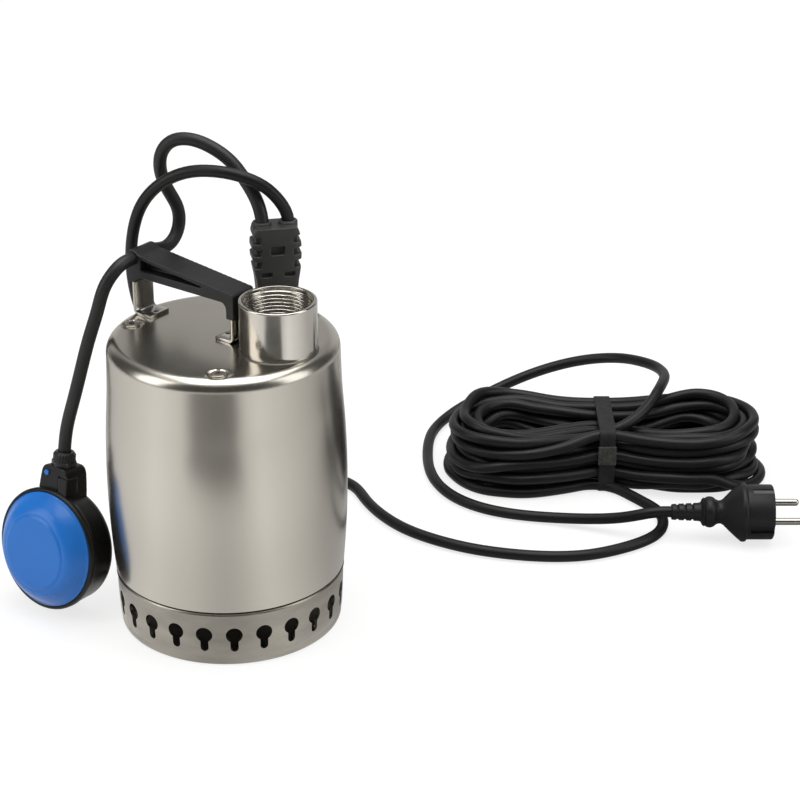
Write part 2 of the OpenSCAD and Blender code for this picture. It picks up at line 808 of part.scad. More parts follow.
module neck_block() {
    polygon([[-12.5, 30], [12.5, 30], [11, 44], [8.2, neck_top], [-8.2, neck_top], [-11, 44]]);
}

module float_shell() {
    color(black_plastic) at_float() difference() {
        union() {
            float_turned() polygon(concat([[0, 0]], shell_line(0)));
            translate([0, neck_y + 8.5, 0]) rotate([90, 0, 0]) linear_extrude(17) neck_block();
            translate([3, neck_y - 9.7, 44.5]) cube([9, 3, 10], center = true);
        }
        float_turned() polygon(concat([[0, cut]], [[float_r - float_wall, cut]],
            shell_line(float_wall)));
        // the float cable comes down through the neck
        translate([0, neck_y, 25]) cylinder(r = lead_d / 2 + slip, h = 40);
        translate([-6, neck_y - 8.5, neck_top - 5]) rod_y(pin_hole_r, 8);
    }
}

pin_hole_r = 1.75;

module float_cap() {
    lip = 0.6;
    color(float_blue) at_float() float_turned() polygon(concat(
        [[cap_r - float_wall, 0.05], [cap_r, 0.05], [cap_r, 1.6], [cap_r - lip, 2.4]],
        [for (i = [1 : 5]) let (u = i / 6)
            [cap_r - lip - (cap_r - lip - facet_r - 1) * u, 2.4 + (float_dome - 3.4) * sin(90 * u)]],
        [[facet_r + 1, float_dome - 1], [facet_r, float_dome], [0, float_dome],
         [0, float_dome - float_wall], [facet_r, float_dome - float_wall - 1]],
        [for (i = [5 : -1 : 1]) let (u = i / 6)
            [cap_r - lip - float_wall - (cap_r - lip - facet_r - 1) * u,
             1.6 + (float_dome - 4.4) * sin(90 * u)]]));
}

gland_r = 7;

module float_gland() {
    color(black_plastic) at_float() translate([0, neck_y, neck_top]) difference() {
        union() {
            cylinder(r = gland_r + 1, h = gland_h * 0.35, $fn = 6);
            rotate_extrude() polygon([[0, 0], [gland_r, 0], [gland_r, gland_h * 0.85],
                [gland_r - 1.2, gland_h], [0, gland_h]]);
        }
        translate([0, 0, -cut]) cylinder(r = lead_d / 2 + slip, h = gland_h + 2 * cut);
    }
}

module float_pin() {
    color(float_blue) at_float() translate([-6, neck_y - 8, neck_top - 5]) rod_y(pin_hole_r - slip, 2.4);
}

ball_low_z = -16;
ball_y = 8;
ball_tube_r = ball_r + 0.3;
ball_tube_wall = 1.5;
back_inner_y = float_back - 0.5 - float_wall;
ball_gap = 0.05;

module float_switch() {
    tube_h = ball_travel + 2 * ball_r;
    color([0.9, 0.9, 0.88]) at_float() {
        // tube that the ball rolls in, standing on the back of the shell
        translate([0, ball_y, ball_low_z - ball_r]) difference() {
            translate([0, 0, -1.5]) cylinder(r = ball_tube_r + ball_tube_wall, h = tube_h + 1.5);
            cylinder(r = ball_tube_r, h = tube_h + cut);
        }
        translate([-5, ball_y + ball_tube_r + 0.5, ball_low_z - 5])
            cube([10, back_inner_y - ball_y - ball_tube_r - 0.5, 10]);
        // snap switch over the end of the tube
        translate([-10, ball_y - 5, ball_low_z - ball_r + tube_h]) difference() {
            cube([20, 12, 11]);
            for (x = [4, 16]) translate([x, 6, 4.5]) rod_y(1.2, 20);
        }
    }
}

module float_ball() {
    color(bright_steel) at_float() translate([0, ball_y, ball_low_z + ball_gap]) sphere(r = ball_r);
}

// ---------- Cables ----------

// Float cable from the boot over to the clamp in the grip.
lead_route = [
    [-2.5, 38, 264], [-22.5, 38.5, 285], [-35, 35.5, 292.5], [-48, 30.5, 296.5],
    [-58.5, 26.5, 294.5], [-66, 24.5, 286], [-68.5, 25.5, 273.5], [-68, 29, 263],
    [-65.3, 35.8, 247.5], [-64.3, 36, 239.5],
    [-63.5, 32.5, 232.3], [-63, 26, 227.6], [-63, 18, 226.4]];

// Float cable from the grip down to the float, hanging free.
free_route = [
    [-63, -13.5, 228], [-63.3, -19.9, 226.8], [-64.4, -25.3, 223.2], [-66.5, -29.4, 217.4],
    [-71.3, -33.4, 200],
    [-76, -37, 182], [-81, -40.5, 161], [-86.5, -43.5, 139]];

// Mains cable from the boot, down behind the casing and round on the floor to the hank.
mains_route = [
    [9.5, 45.5, 264], [3.5, 39, 274], [-8, 31.5, 280.5], [-24, 25, 282.5], [-41, 19, 280],
    [-56, 13, 272], [-69, 9, 257.5], [-78, 9, 238], [-85.5, 14, 206],
    [-86.5, 25.5, 167], [-85, 44.5, 120], [-85, 67, 77], [-84.5, 84, 50],
    [-84, 102, 28], [-83.5, 123, 13], [-83, 144, 5.5], [-79.5, 160.5, 4], [-69.5, 173, 4],
    [-55, 179.5, 4], [-39, 178, 4], [-20, 167, 4], [14, 151, 4],
    [55, 147.5, 4], [93, 155.5, 4], [127, 172.5, 4], [147, 190, 4],
    [160, 211, 4], [167, 230, 4], [168, 246.5, 4], [164.5, 261, 4], [157.5, 273.5, 4],
    [148.5, 285, 4], [137.5, 292.5, 4.3], [124.5, 295, 5], [111.5, 292.5, 5.6]];

// Cable from the hank to the plug, in the hank's own frame.
tail_route = [
    [20, 11, 48.3], [33, 17, 52], [43, 29.5, 55], [46.5, 45, 55.5], [42.5, 62, 54],
    [31.5, 79, 51.5], [17, 95, 47], [-4, 105, 41.5], [-29, 109, 34], [-79, 101, 15.5],
    [-100, 90, 8], [-115, 72, 4], [-123, 49, 4], [-124, -2, 4], [-117, -27, 4],
    [-104, -49, 4], [-84, -65, 4], [-35, -80, 5], [-11, -88, 8.5], [11, -96, 14.5]];

function boot_point(x, z) = [boot_x + x * cos(boot_turn), boot_y + x * sin(boot_turn), boot_z + z];

lead_start = boot_point(-collar_gap / 2, boot_h * 0.8 + 0.2);
mains_start = boot_point(collar_gap / 2, boot_h * 0.8 + 0.2);
collar_top = boot_h + collar_h;
clamp_exit = [clamp_x, -grip_w / 2, clamp_z];

module float_lead() {
    color(black_rubber) swept_tube(concat(
        [lead_start, boot_point(-collar_gap / 2, collar_top)], lead_route,
        [[clamp_x, grip_w / 2 + 1, clamp_z], clamp_exit]), lead_d, 10, [0, 1, 0]);
}

float_lead_in = float_point([0, neck_y, neck_top + gland_h + 12]);
float_lead_end = float_point([0, neck_y, neck_top - 2]);

module float_lead_free() {
    start = clamp_exit - [0, loose, 0];
    color(black_rubber) swept_tube(concat([start], free_route, [float_lead_in, float_lead_end]),
        lead_d, 10, [1, 0, 0]);
}

hank_at = [85, 307, 0];
hank_turn = 36.5;

module at_hank() {
    translate(hank_at) rotate([0, 0, hank_turn]) children();
}

function hank_point(p) = hank_at + [
    p[0] * cos(hank_turn) - p[1] * sin(hank_turn),
    p[0] * sin(hank_turn) + p[1] * cos(hank_turn), p[2]];

hank_floor = mains_d / 2 + 0.2;
waist_lift = 1.8;
hank_top = hank_floor + (hank_layers - 1) * hank_pitch;
loop_rings = 24;
end_bend = 30;
first_ring = 12;
climb_start = 10;
climb_rings = 3;
spiral_end = 2 * loop_rings + climb_start;
last_ring = (hank_layers + 1) * loop_rings;

// Share of the waist's draw-in at a place along a run, 1 at the middle and 0 at the bends.
function drawn(x) = abs(x) >= hank_half ? 0 : (1 + cos(180 * x / hank_half)) / 2;

// Centre offset and outward direction of ring k of a loop: two runs and two half circles.
function station(k) =
    k <= 2 ? [hank_half * k / 3, -90] :
    k <= 9 ? [hank_half, -90 + end_bend * (k - 3)] :
    k <= 14 ? [hank_half * (12 - k) / 3, 90] :
    k <= 21 ? [-hank_half, 90 + end_bend * (k - 15)] :
    [hank_half * (k - 24) / 3, 270];

// The spiral on top grows steadily, and the wall of loops below it keeps its radius.
function loop_r(k) = hank_r - max(0, hank_step * (spiral_end - k) / loop_rings);

// Layers passed so far: each climb lies along the back run.
function layers_down(k) = k < spiral_end ? 0 :
    let (n = floor(k / loop_rings) - 2, u = k % loop_rings - climb_start,
         s = min(1, max(0, u / climb_rings)))
    n + s * s * (3 - 2 * s);

function plan_point(r, s) =
    let (lean = drawn(s[0]) * waist)
    [s[0] + r * cos(s[1]), (r - lean) * sin(s[1])];

function hank_ring(k) =
    let (s = station(k % loop_rings), q = plan_point(loop_r(k), s))
    [q[0], q[1], hank_top - hank_pitch * layers_down(k) + waist_lift * drawn(s[0])];

exit_y = loop_r(first_ring) - waist;
hank_exit = [mains_d, exit_y, hank_top + waist_lift];
run_in = hank_ring(last_ring - 1);
run_out = hank_ring(last_ring);
hank_entry = run_in + (run_out - run_in) * 2 / 3;

hank_path = concat([hank_exit], [for (k = [first_ring : last_ring - 1]) hank_ring(k)],
    [hank_entry]);

// Least gap between parts of the tube that are most of a loop apart.
near_rings = 8;
function least_gap(p) = min([for (i = [0 : len(p) - 1]) for (j = [i + near_rings : 1 : len(p) - 1])
    norm(p[i] - p[j])]) - mains_d;
echo(hank_least_gap = least_gap(hank_path), hank_length = path_length(hank_path));

core_out_r = hank_r - mains_d / 2 - loose;
core_in_r = loop_r(first_ring) - mains_d / 2;
core_foot_z = hank_floor + hank_pitch / 2 + 1;
core_head_z = hank_top - mains_d / 2 - loose;

module hank_core() {
    translate([0, 0, core_foot_z]) linear_extrude(core_head_z - core_foot_z) difference() {
        polygon([for (k = [0 : loop_rings - 1]) plan_point(core_out_r, station(k))]);
        polygon([for (k = [0 : loop_rings - 1]) plan_point(core_in_r, station(k))]);
    }
}

module cable_hank() {
    color(black_rubber) at_hank() {
        swept_tube(hank_path, mains_d, 6);
        hank_core();
    }
}

module hank_tie() {
    half_w = hank_r - waist + mains_d / 2 + 1.2;
    low = hank_floor + waist_lift - mains_d / 2 - loose;
    high = hank_top + waist_lift + mains_d / 2 + loose;
    corner = 4;
    color(black_rubber) at_hank() translate([-tie_w / 2, 0, (low + high) / 2])
        rotate([90, 0, 90]) linear_extrude(tie_w) difference() {
            round_rect(2 * half_w + 2 * tie_t, high - low + 2 * tie_t, corner + tie_t);
            round_rect(2 * half_w, high - low, corner);
        }
}

module mains_cable() {
    color(black_rubber) swept_tube(concat(
        [mains_start, boot_point(collar_gap / 2, collar_top)], mains_route,
        [hank_point(hank_entry + mains_d * unit(run_out - run_in)), hank_point(hank_entry)]),
        mains_d, 8, [0, 1, 0]);
}

// ---------- Plug ----------

plug_at = [38, -100, plug_flange_r];
plug_roll = -75;
relief_len = 19;
flange_x = 45.5;
flange_w = 3.5;

module at_plug() {
    at_hank() translate(plug_at) children();
}

module cable_tail() {
    color(black_rubber) at_hank() swept_tube(concat(
        [hank_exit], tail_route, [plug_at - [mains_d, 0, 0], plug_at]), mains_d, 8);
}

module plug_body() {
    slot_w = 1.8;
    color(black_rubber) at_plug() difference() {
        rotate([0, 90, 0]) rotate_extrude() polygon(concat(
            [[0, 0], [5.2, 0], [6.4, relief_len], [9.6, relief_len + 2]],
            arc(5.5, relief_len + 6.5, 5, -60, 60, 6),
            [[7.8, relief_len + 12.5], [8.6, relief_len + 15.5], [plug_flange_r - 1, flange_x],
             [plug_flange_r, flange_x + 1], [plug_flange_r, flange_x + flange_w],
             [plug_r, flange_x + flange_w + 0.6],
             [plug_r, plug_len - 1], [plug_r - 1, plug_len], [0, plug_len]]));
        // flex slots of the strain relief, in turn from both sides
        for (x = [4, 9, 14]) for (s = [-1, 1])
            translate([x, 0, s * 5.6]) cube([slot_w, 20, 5], center = true);
        rotate([plug_roll, 0, 0]) for (s = [-1, 1]) {
            translate([plug_len - 9, 0, s * pin_gap / 2]) rod_x(pin_r + 0.01, 20);
            // guide grooves on the two sides
            translate([plug_len - 8 + cut, 0, s * plug_r]) cube([16 + 2 * cut, 6, 4], center = true);
            // seats of the earth strips
            translate([plug_len - 7 + cut, s * (plug_r - 0.8), 0]) cube([14 + 2 * cut, 1.6 + slip, 4], center = true);
        }
    }
}

module plug_pins() {
    root = 8;
    color(bright_steel) at_plug() rotate([plug_roll, 0, 0]) for (s = [-1, 1])
        translate([plug_len - root, 0, s * pin_gap / 2]) rotate([0, 90, 0]) rotate_extrude()
            polygon(concat([[0, 0], [pin_r, 0], [pin_r, root + pin_len - 2]],
                arc(pin_r - 2, root + pin_len - 2, 2, 10, 80, 3), [[0, root + pin_len]]));
}

module plug_earth() {
    strip_len = 14;
    color(bright_steel) at_plug() rotate([plug_roll, 0, 0]) for (s = [-1, 1])
        translate([plug_len - strip_len / 2, s * (plug_r - 1.2), 0])
            cube([strip_len, 0.8, 3.9], center = true);
}

// ---------- Nodes ----------

strainer();
suction_cover();
impeller();
impeller_nut();
pump_housing();
housing_seal();
seal_seat();
seal_head();
shaft();
oil_chamber();
lower_bearing();
upper_bearing();
rotor_core();
motor_can();
stator_core();
stator_windings();
motor_cover();
cover_seal();
capacitor();
cable_duct();
sleeve();
discharge_socket();
tie_screws();
handle_strap();
handle_grip();
boot_seal();
cable_boot();
float_shell();
float_cap();
float_gland();
float_pin();
float_switch();
float_ball();
float_lead();
float_lead_free();
mains_cable();
cable_hank();
hank_tie();
cable_tail();
plug_body();
plug_pins();
plug_earth();
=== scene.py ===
"""The looks of a submersible drainage pump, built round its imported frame. Metres, +Z up."""
import math

import bmesh
import bpy
import numpy as np
from mathutils import Matrix, Vector


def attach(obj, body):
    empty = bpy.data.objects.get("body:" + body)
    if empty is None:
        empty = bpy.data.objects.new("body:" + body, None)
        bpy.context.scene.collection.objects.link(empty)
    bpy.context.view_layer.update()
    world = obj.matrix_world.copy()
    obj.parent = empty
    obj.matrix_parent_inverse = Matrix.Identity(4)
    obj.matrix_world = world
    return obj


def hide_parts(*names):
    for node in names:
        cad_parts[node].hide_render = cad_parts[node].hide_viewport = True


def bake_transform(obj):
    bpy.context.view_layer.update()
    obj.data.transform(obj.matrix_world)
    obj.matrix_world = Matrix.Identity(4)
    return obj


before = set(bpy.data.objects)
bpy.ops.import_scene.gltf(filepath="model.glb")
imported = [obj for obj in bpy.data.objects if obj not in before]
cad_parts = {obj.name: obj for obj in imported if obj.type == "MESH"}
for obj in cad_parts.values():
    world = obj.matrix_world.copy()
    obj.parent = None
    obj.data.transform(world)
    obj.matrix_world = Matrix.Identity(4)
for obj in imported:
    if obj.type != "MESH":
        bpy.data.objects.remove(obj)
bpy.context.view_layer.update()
MM = 0.001

# ---------- Camera, at the photograph's viewing angle ----------


def linked(name, data):
    obj = bpy.data.objects.new(name, data)
    bpy.context.scene.collection.objects.link(obj)
    return obj


def aim(obj, target):
    direction = Vector(target) - obj.location
    obj.rotation_euler = direction.to_track_quat("-Z", "Y").to_euler()


lens = bpy.data.cameras.new("camera")
lens.lens = 108.9
lens.sensor_width = 36
lens.clip_start = 0.05
lens.clip_end = 40
camera = linked("camera", lens)
camera.location = (0.8869, -1.0187, 0.7661)
aim(camera, (0.0860, 0.06365, 0.1468))
bpy.context.scene.camera = camera

# ---------- Shared tools ----------


def mesh_piece(name, points, faces, smooth=True):
    """A mesh from points in millimetres, with its normals turned outwards."""
    mesh = bpy.data.meshes.new(name)
    mesh.from_pydata([[c * MM for c in p] for p in points], [], faces)
    bm = bmesh.new()
    bm.from_mesh(mesh)
    bmesh.ops.recalc_face_normals(bm, faces=bm.faces)
    bm.to_mesh(mesh)
    bm.free()
    mesh.polygons.foreach_set("use_smooth", [smooth] * len(mesh.polygons))
    return linked(name, mesh)


def sharpen(obj, angle):
    """Smooth shading that breaks at edges sharper than the angle."""
    mesh = obj.data
    mesh.polygons.foreach_set("use_smooth", [True] * len(mesh.polygons))
    bm = bmesh.new()
    bm.from_mesh(mesh)
    for edge in bm.edges:
        two = len(edge.link_faces) == 2
        edge.smooth = two and edge.calc_face_angle(0) < math.radians(angle)
    bm.to_mesh(mesh)
    bm.free()
    return obj


def apply_modifiers(obj):
    graph = bpy.context.evaluated_depsgraph_get()
    graph.update()
    done = bpy.data.meshes.new_from_object(obj.evaluated_get(graph))
    obj.modifiers.clear()
    obj.data = done
    return obj


def carve(obj, cutter, operation="DIFFERENCE"):
    """Boolean of two closed meshes. The cutter is used up."""
    mod = obj.modifiers.new("carve", "BOOLEAN")
    mod.object = cutter
    mod.operation = operation
    mod.solver = "EXACT"
    apply_modifiers(obj)
    bpy.data.objects.remove(cutter)
    return obj


def round_edges(obj, width, angle):
    """Small radius on every edge sharper than the angle, as a deburred piece has."""
    mod = obj.modifiers.new("round", "BEVEL")
    mod.width = width * MM
    mod.segments = 2
    mod.limit_method = "ANGLE"
    mod.angle_limit = math.radians(angle)
    return apply_modifiers(obj)


def lathe(name, profile, turns=192, centre=(0, 0), move=None, shape=None):
    """A closed surface of revolution about +Z from (radius, height) pairs in millimetres.
    The profile is closed through the axis or through its own ends. shape moves single points."""
    points, faces, rings = [], [], []
    for r, z in profile:
        if r < 1e-6:
            rings.append([len(points)])
            points.append((0, 0, z))
        else:
            rings.append(list(range(len(points), len(points) + turns)))
            for i in range(turns):
                a = 2 * math.pi * i / turns
                points.append((r * math.cos(a), r * math.sin(a), z))
    on_axis = len(rings[0]) == 1 and len(rings[-1]) == 1
    pairs = list(zip(rings, rings[1:])) + ([] if on_axis else [(rings[-1], rings[0])])
    for a, b in pairs:
        for i in range(turns):
            j = (i + 1) % turns
            if len(a) == 1 and len(b) == 1:
                continue
            if len(a) == 1:
                faces.append((a[0], b[i], b[j]))
            elif len(b) == 1:
                faces.append((a[i], a[j], b[0]))
            else:
                faces.append((a[i], a[j], b[j], b[i]))
    if shape:
        points = [shape(p) for p in points]
    if move:
        points = [tuple(move @ Vector(p)) for p in points]
    points = [(x + centre[0], y + centre[1], z) for x, y, z in points]
    return mesh_piece(name, points, faces)


def bar(r, z0, z1, turns, centre=(0, 0), move=None):
    """A round cutter along Z."""
    return lathe("cutter", [(0, z0), (r, z0), (r, z1), (0, z1)], turns, centre, move)


def block(size, at):
    """A cutter with flat sides."""
    x, y, z = (s / 2 for s in size)
    corners = [(i * x + at[0], j * y + at[1], k * z + at[2])
               for i in (-1, 1) for j in (-1, 1) for k in (-1, 1)]
    faces = [(0, 1, 3, 2), (4, 6, 7, 5), (0, 4, 5, 1), (2, 3, 7, 6), (0, 2, 6, 4), (1, 5, 7, 3)]
    return mesh_piece("cutter", corners, faces, smooth=False)


def prism(name, near, far):
    """A closed piece between two outlines with the same number of points."""
    n = len(near)
    faces = [tuple(range(n)), tuple(range(2 * n - 1, n - 1, -1))]
    faces += [(i, (i + 1) % n, n + (i + 1) % n, n + i) for i in range(n)]
    return mesh_piece(name, near + far, faces, smooth=False)


def join(name, pieces):
    """Several meshes as one object, with no boolean."""
    points, faces = [], []
    for piece in pieces:
        base = len(points)
        points += [piece.matrix_world @ v.co / MM for v in piece.data.vertices]
        faces += [[base + i for i in p.vertices] for p in piece.data.polygons]
        bpy.data.objects.remove(piece)
    return mesh_piece(name, points, faces, smooth=False)


def arc(cx, cy, r, a0, a1, n):
    return [(cx + r * math.cos(math.radians(a0 + (a1 - a0) * i / n)),
             cy + r * math.sin(math.radians(a0 + (a1 - a0) * i / n))) for i in range(n + 1)]


def shifted(r, z, steps):
    """Profile points given by their distances from (r, z)."""
    return [(r + a, z + b) for a, b in steps]


def even(path, step):
    """The same line with points at equal steps."""
    run = np.r_[0, np.cumsum(np.linalg.norm(np.diff(path, axis=0), axis=1))]
    at = np.linspace(0, run[-1], max(2, round(run[-1] / step) + 1))
    return np.stack([np.interp(at, run, path[:, i]) for i in range(3)], -1)


def spline(points, step):
    """One smooth curve through the points, with no change of curvature in jumps."""
    p = np.asarray(points, float)
    t = np.r_[0, np.cumsum(np.linalg.norm(np.diff(p, axis=0), axis=1))]
    n, h = len(p), np.diff(t)
    a, b = np.zeros((n, n)), np.zeros((n, 3))
    a[0, 0] = a[-1, -1] = 1
    for i in range(1, n - 1):
        a[i, i - 1], a[i, i], a[i, i + 1] = h[i - 1], 2 * (h[i - 1] + h[i]), h[i]
        b[i] = 3 * ((p[i + 1] - p[i]) / h[i] - (p[i] - p[i - 1]) / h[i - 1])
    c = np.linalg.solve(a, b)
    u = np.linspace(0, t[-1], int(t[-1] / step) * 4 + 2)
    k = np.clip(np.searchsorted(t, u, side="right") - 1, 0, n - 2)
    s, hk = (u - t[k])[:, None], h[k][:, None]
    slope = (p[k + 1] - p[k]) / hk - hk * (2 * c[k] + c[k + 1]) / 3
    return even(p[k] + slope * s + c[k] * s**2 + (c[k + 1] - c[k]) / (3 * hk) * s**3, step)


def sweep(name, path, radius, sides):
    """A closed round tube along a path in millimetres."""
    n = len(path)
    heading = np.gradient(path, axis=0)
    heading /= np.linalg.norm(heading, axis=1)[:, None]
    points, s = [], np.array((0.0, 0.0, 1.0))
    for i in range(n):
        s = s - (s @ heading[i]) * heading[i]
        s /= np.linalg.norm(s)
        u = np.cross(heading[i], s)
        for j in range(sides):
            a = 2 * math.pi * j / sides
            points.append(path[i] + radius * (math.cos(a) * s + math.sin(a) * u))
    faces = [(i * sides + j, i * sides + (j + 1) % sides,
              (i + 1) * sides + (j + 1) % sides, (i + 1) * sides + j)
             for i in range(n - 1) for j in range(sides)]
    faces += [tuple(range(sides)), tuple(range((n - 1) * sides, n * sides))]
    return sharpen(mesh_piece(name, points, faces), 60)


def turned(angle, axis):
    return Matrix.Rotation(math.radians(angle), 4, axis)


def placed(move, points):
    return [list(move @ Vector(p)) for p in points]


def in_metres(move):
    """A placement in millimetres, for a mesh that is already in metres."""
    move = move.copy()
    move.translation = move.translation * MM
    return move


# ---------- Materials ----------


def dial(node, values):
    """Sets a node's inputs by name."""
    for socket, value in values.items():
        node.inputs[socket].default_value = value


def material(name, colour, rough, metal=0.0, spec=0.5, dark=0.85, light=1.1, patch=12.0,
             stretch=(1, 1, 1), rough_span=0.08, grain=900.0, grain_stretch=(1, 1, 1),
             bump=0.15, bump_mm=0.05, sheen=0.0, wear_and_glint=None):
    """A surface with uneven colour, uneven polish and a fine grain, all by noise in the piece's own
    metres. wear_and_glint is (colour, roughness) of the convex edges, painted lighter: partly
    rubbed wear, partly a painted highlight."""
    mat = bpy.data.materials.new(name)
    mat.use_nodes = True
    tree = mat.node_tree
    node, link = tree.nodes.new, tree.links.new
    shader = tree.nodes["Principled BSDF"]
    dial(shader, {"Metallic": metal, "Specular IOR Level": spec, "Sheen Weight": sheen,
                  "Sheen Roughness": 0.4})
    place = node("ShaderNodeTexCoord")

    def noise(scale, scaling, detail=4.0):
        mapping = node("ShaderNodeMapping")
        dial(mapping, {"Scale": scaling})
        link(place.outputs["Object"], mapping.inputs["Vector"])
        tex = node("ShaderNodeTexNoise")
        dial(tex, {"Scale": scale, "Detail": detail, "Roughness": 0.55})
        link(mapping.outputs["Vector"], tex.inputs["Vector"])
        return tex.outputs["Fac"]

    def mix(a, b, factor):
        blend = node("ShaderNodeMix")
        blend.data_type = "RGBA"
        for socket, value in (("A", a), ("B", b)):
            target = [s for s in blend.inputs if s.name == socket and s.type == "RGBA"][0]
            if isinstance(value, tuple):
                target.default_value = (*value, 1)
            else:
                link(value, target)
        link(factor, blend.inputs[0])
        return [s for s in blend.outputs if s.type == "RGBA"][0]

    def spread(value, low, high, src=(0.3, 0.7)):
        ramp = node("ShaderNodeMapRange")
        dial(ramp, {"From Min": src[0], "From Max": src[1], "To Min": low, "To Max": high})
        link(value, ramp.inputs["Value"])
        return ramp.outputs["Result"]

    patches = noise(patch, stretch)
    polish = noise(patch * 3.1, stretch, 6.0)
    fine = noise(grain, grain_stretch, 3.0)
    deep = tuple(c * dark for c in colour)
    pale = tuple(min(1.0, c * light) for c in colour)
    paint = mix(deep, pale, spread(patches, 0, 1))
    gloss = spread(polish, max(0.03, rough - rough_span), rough + rough_span)
    if wear_and_glint:
        # edges painted lighter and smoother where pointiness is high: partly rubbed wear, partly a
        # painted highlight along the ridges
        edges = node("ShaderNodeNewGeometry").outputs["Pointiness"]
        rub = spread(edges, 0, 1, (0.52, 0.60))
        paint = mix(paint, wear_and_glint[0], rub)
        smoother = node("ShaderNodeMix")
        link(rub, smoother.inputs[0])
        link(gloss, smoother.inputs[2])
        smoother.inputs[3].default_value = wear_and_glint[1]
        gloss = smoother.outputs[0]
    link(paint, shader.inputs["Base Color"])
    link(gloss, shader.inputs["Roughness"])
    relief = node("ShaderNodeBump")
    dial(relief, {"Strength": bump, "Distance": bump_mm * MM})
    link(fine, relief.inputs["Height"])
    link(relief.outputs["Normal"], shader.inputs["Normal"])
    return mat


def paint(obj, mat, slot=None):
    obj.data.materials.clear()
    obj.data.materials.append(mat)
    return obj


MOULD = {"light": 1.15, "patch": 35, "rough_span": 0.06, "grain": 2200, "bump": 0.25}
CABLE = {"patch": 16, "rough_span": 0.06, "grain": 1800, "bump": 0.3}
WOVEN = {"light": 1.5, "grain": 2600, "bump": 0.6, "bump_mm": 0.12}

casing_steel = material(
    "casing_steel", (0.562, 0.528, 0.465), 0.24, metal=1, dark=0.96, light=1.03, patch=9,
    stretch=(1, 1, 0.35), rough_span=0.02, grain=1500, bump=0.05, bump_mm=0.02)
strainer_steel = material(
    "strainer_steel", (0.39, 0.363, 0.315), 0.34, metal=1, dark=0.80, light=1.08, patch=26,
    stretch=(1, 1, 3.5), grain=1100, grain_stretch=(0.25, 0.25, 2.2), bump=0.18, bump_mm=0.03)
bright_steel = material(
    "bright_steel", (0.60, 0.57, 0.515), 0.17, metal=1, dark=0.93, light=1.05, patch=18,
    rough_span=0.04, grain=1400, bump=0.08, bump_mm=0.02)
strap_steel = material(
    "strap_steel", (0.52, 0.50, 0.46), 0.22, metal=1, dark=0.9, light=1.06, patch=22,
    rough_span=0.05, grain=1300, grain_stretch=(1, 0.05, 1), bump=0.10, bump_mm=0.02)
# painted shade: the weld bead is painted dark to stand in for the shade in the crease at the
# socket's foot
weld_steel = material(
    "weld_steel", (0.17, 0.16, 0.145), 0.42, metal=1, patch=60, rough_span=0.1, bump=0.6,
    bump_mm=0.15)
# painted shade: the plug's earth contacts are bright plated metal, painted dark to stand in for the
# shade inside their slots
shaded_earth_metal = material(
    "shaded_earth_metal", (0.12, 0.118, 0.112), 0.55, metal=1, patch=40, bump=0.3, bump_mm=0.08)
iron = material(
    "iron", (0.36, 0.36, 0.37), 0.45, metal=1, patch=30, rough_span=0.12, grain=700, bump=0.5,
    bump_mm=0.15)
copper = material(
    "copper", (0.62, 0.27, 0.11), 0.28, metal=1, patch=60, grain=1600, grain_stretch=(1, 1, 6),
    bump=0.7, bump_mm=0.3)
brass = material("brass", (0.62, 0.45, 0.18), 0.22, metal=1, patch=50, rough_span=0.06)
black_plastic = material(
    "black_plastic", (0.013, 0.013, 0.0135), 0.40, spec=0.35, dark=0.8, light=1.25, patch=30,
    rough_span=0.06, grain=2600, bump=0.28, bump_mm=0.06, wear_and_glint=((0.035, 0.035, 0.036), 0.34))
boot_rubber = material(
    "boot_rubber", (0.036, 0.036, 0.035), 0.48, spec=0.4, wear_and_glint=((0.105, 0.105, 0.10), 0.44),
    **MOULD)
plug_rubber = material("plug_rubber", (0.0105, 0.0105, 0.0105), 0.44, spec=0.3, **MOULD)
cable_rubber = material(
    "cable_rubber", (0.0155, 0.0155, 0.015), 0.42, spec=0.35, dark=0.78, light=1.3, **CABLE)
# painted shade: the mains cable is the same rubber as the float lead's cable_rubber, painted darker
# and less glossy to darken the hank
shaded_mains_rubber = material(
    "shaded_mains_rubber", (0.0095, 0.0095, 0.0092), 0.40, spec=0.28, dark=0.75, light=1.35, **CABLE)
shell_plastic = material(
    "shell_plastic", (0.007, 0.007, 0.0067), 0.32, spec=0.27, dark=0.8, light=1.2, patch=22,
    rough_span=0.05, grain=2400, bump=0.14, bump_mm=0.04)
blue_plastic = material(
    "blue_plastic", (0.018, 0.172, 0.60), 0.24, spec=0.35, dark=0.95, light=1.04, patch=14,
    rough_span=0.04, grain=2200, bump=0.06, bump_mm=0.03)
white_plastic = material("white_plastic", (0.78, 0.78, 0.74), 0.42, patch=25, bump=0.2)
ceramic = material(
    "ceramic", (0.80, 0.80, 0.76), 0.12, dark=0.95, light=1.03, patch=40, bump=0.05)
seal_rubber = material("seal_rubber", (0.02, 0.02, 0.02), 0.55, patch=30, bump=0.3)
woven_black = material(
    "woven_black", (0.015, 0.015, 0.015), 0.62, spec=0.28, dark=0.7, patch=160, sheen=0.1,
    **WOVEN)
woven_grey = material(
    "woven_grey", (0.062, 0.062, 0.058), 0.58, spec=0.4, dark=0.6, patch=420, sheen=0.2, **WOVEN)

# ---------- Cords ----------

MAINS_D = 7.6
LEAD_D = 8.2
BOOT_PITCH = 8  # from the boot's middle to each cable
HANK_AT = Matrix.Translation((85, 307, 0)) @ turned(36.5, "Z")
BOOT_AT = Matrix.Translation((7, 43, 192.4)) @ turned(48, "Z")

# where the two cables enter the boot, and where they leave it
LEAD_IN, LEAD_OUT, MAINS_IN, MAINS_OUT = placed(
    BOOT_AT, [(side * BOOT_PITCH, 0, z) for side in (-1, 1) for z in (52, 61.6)])

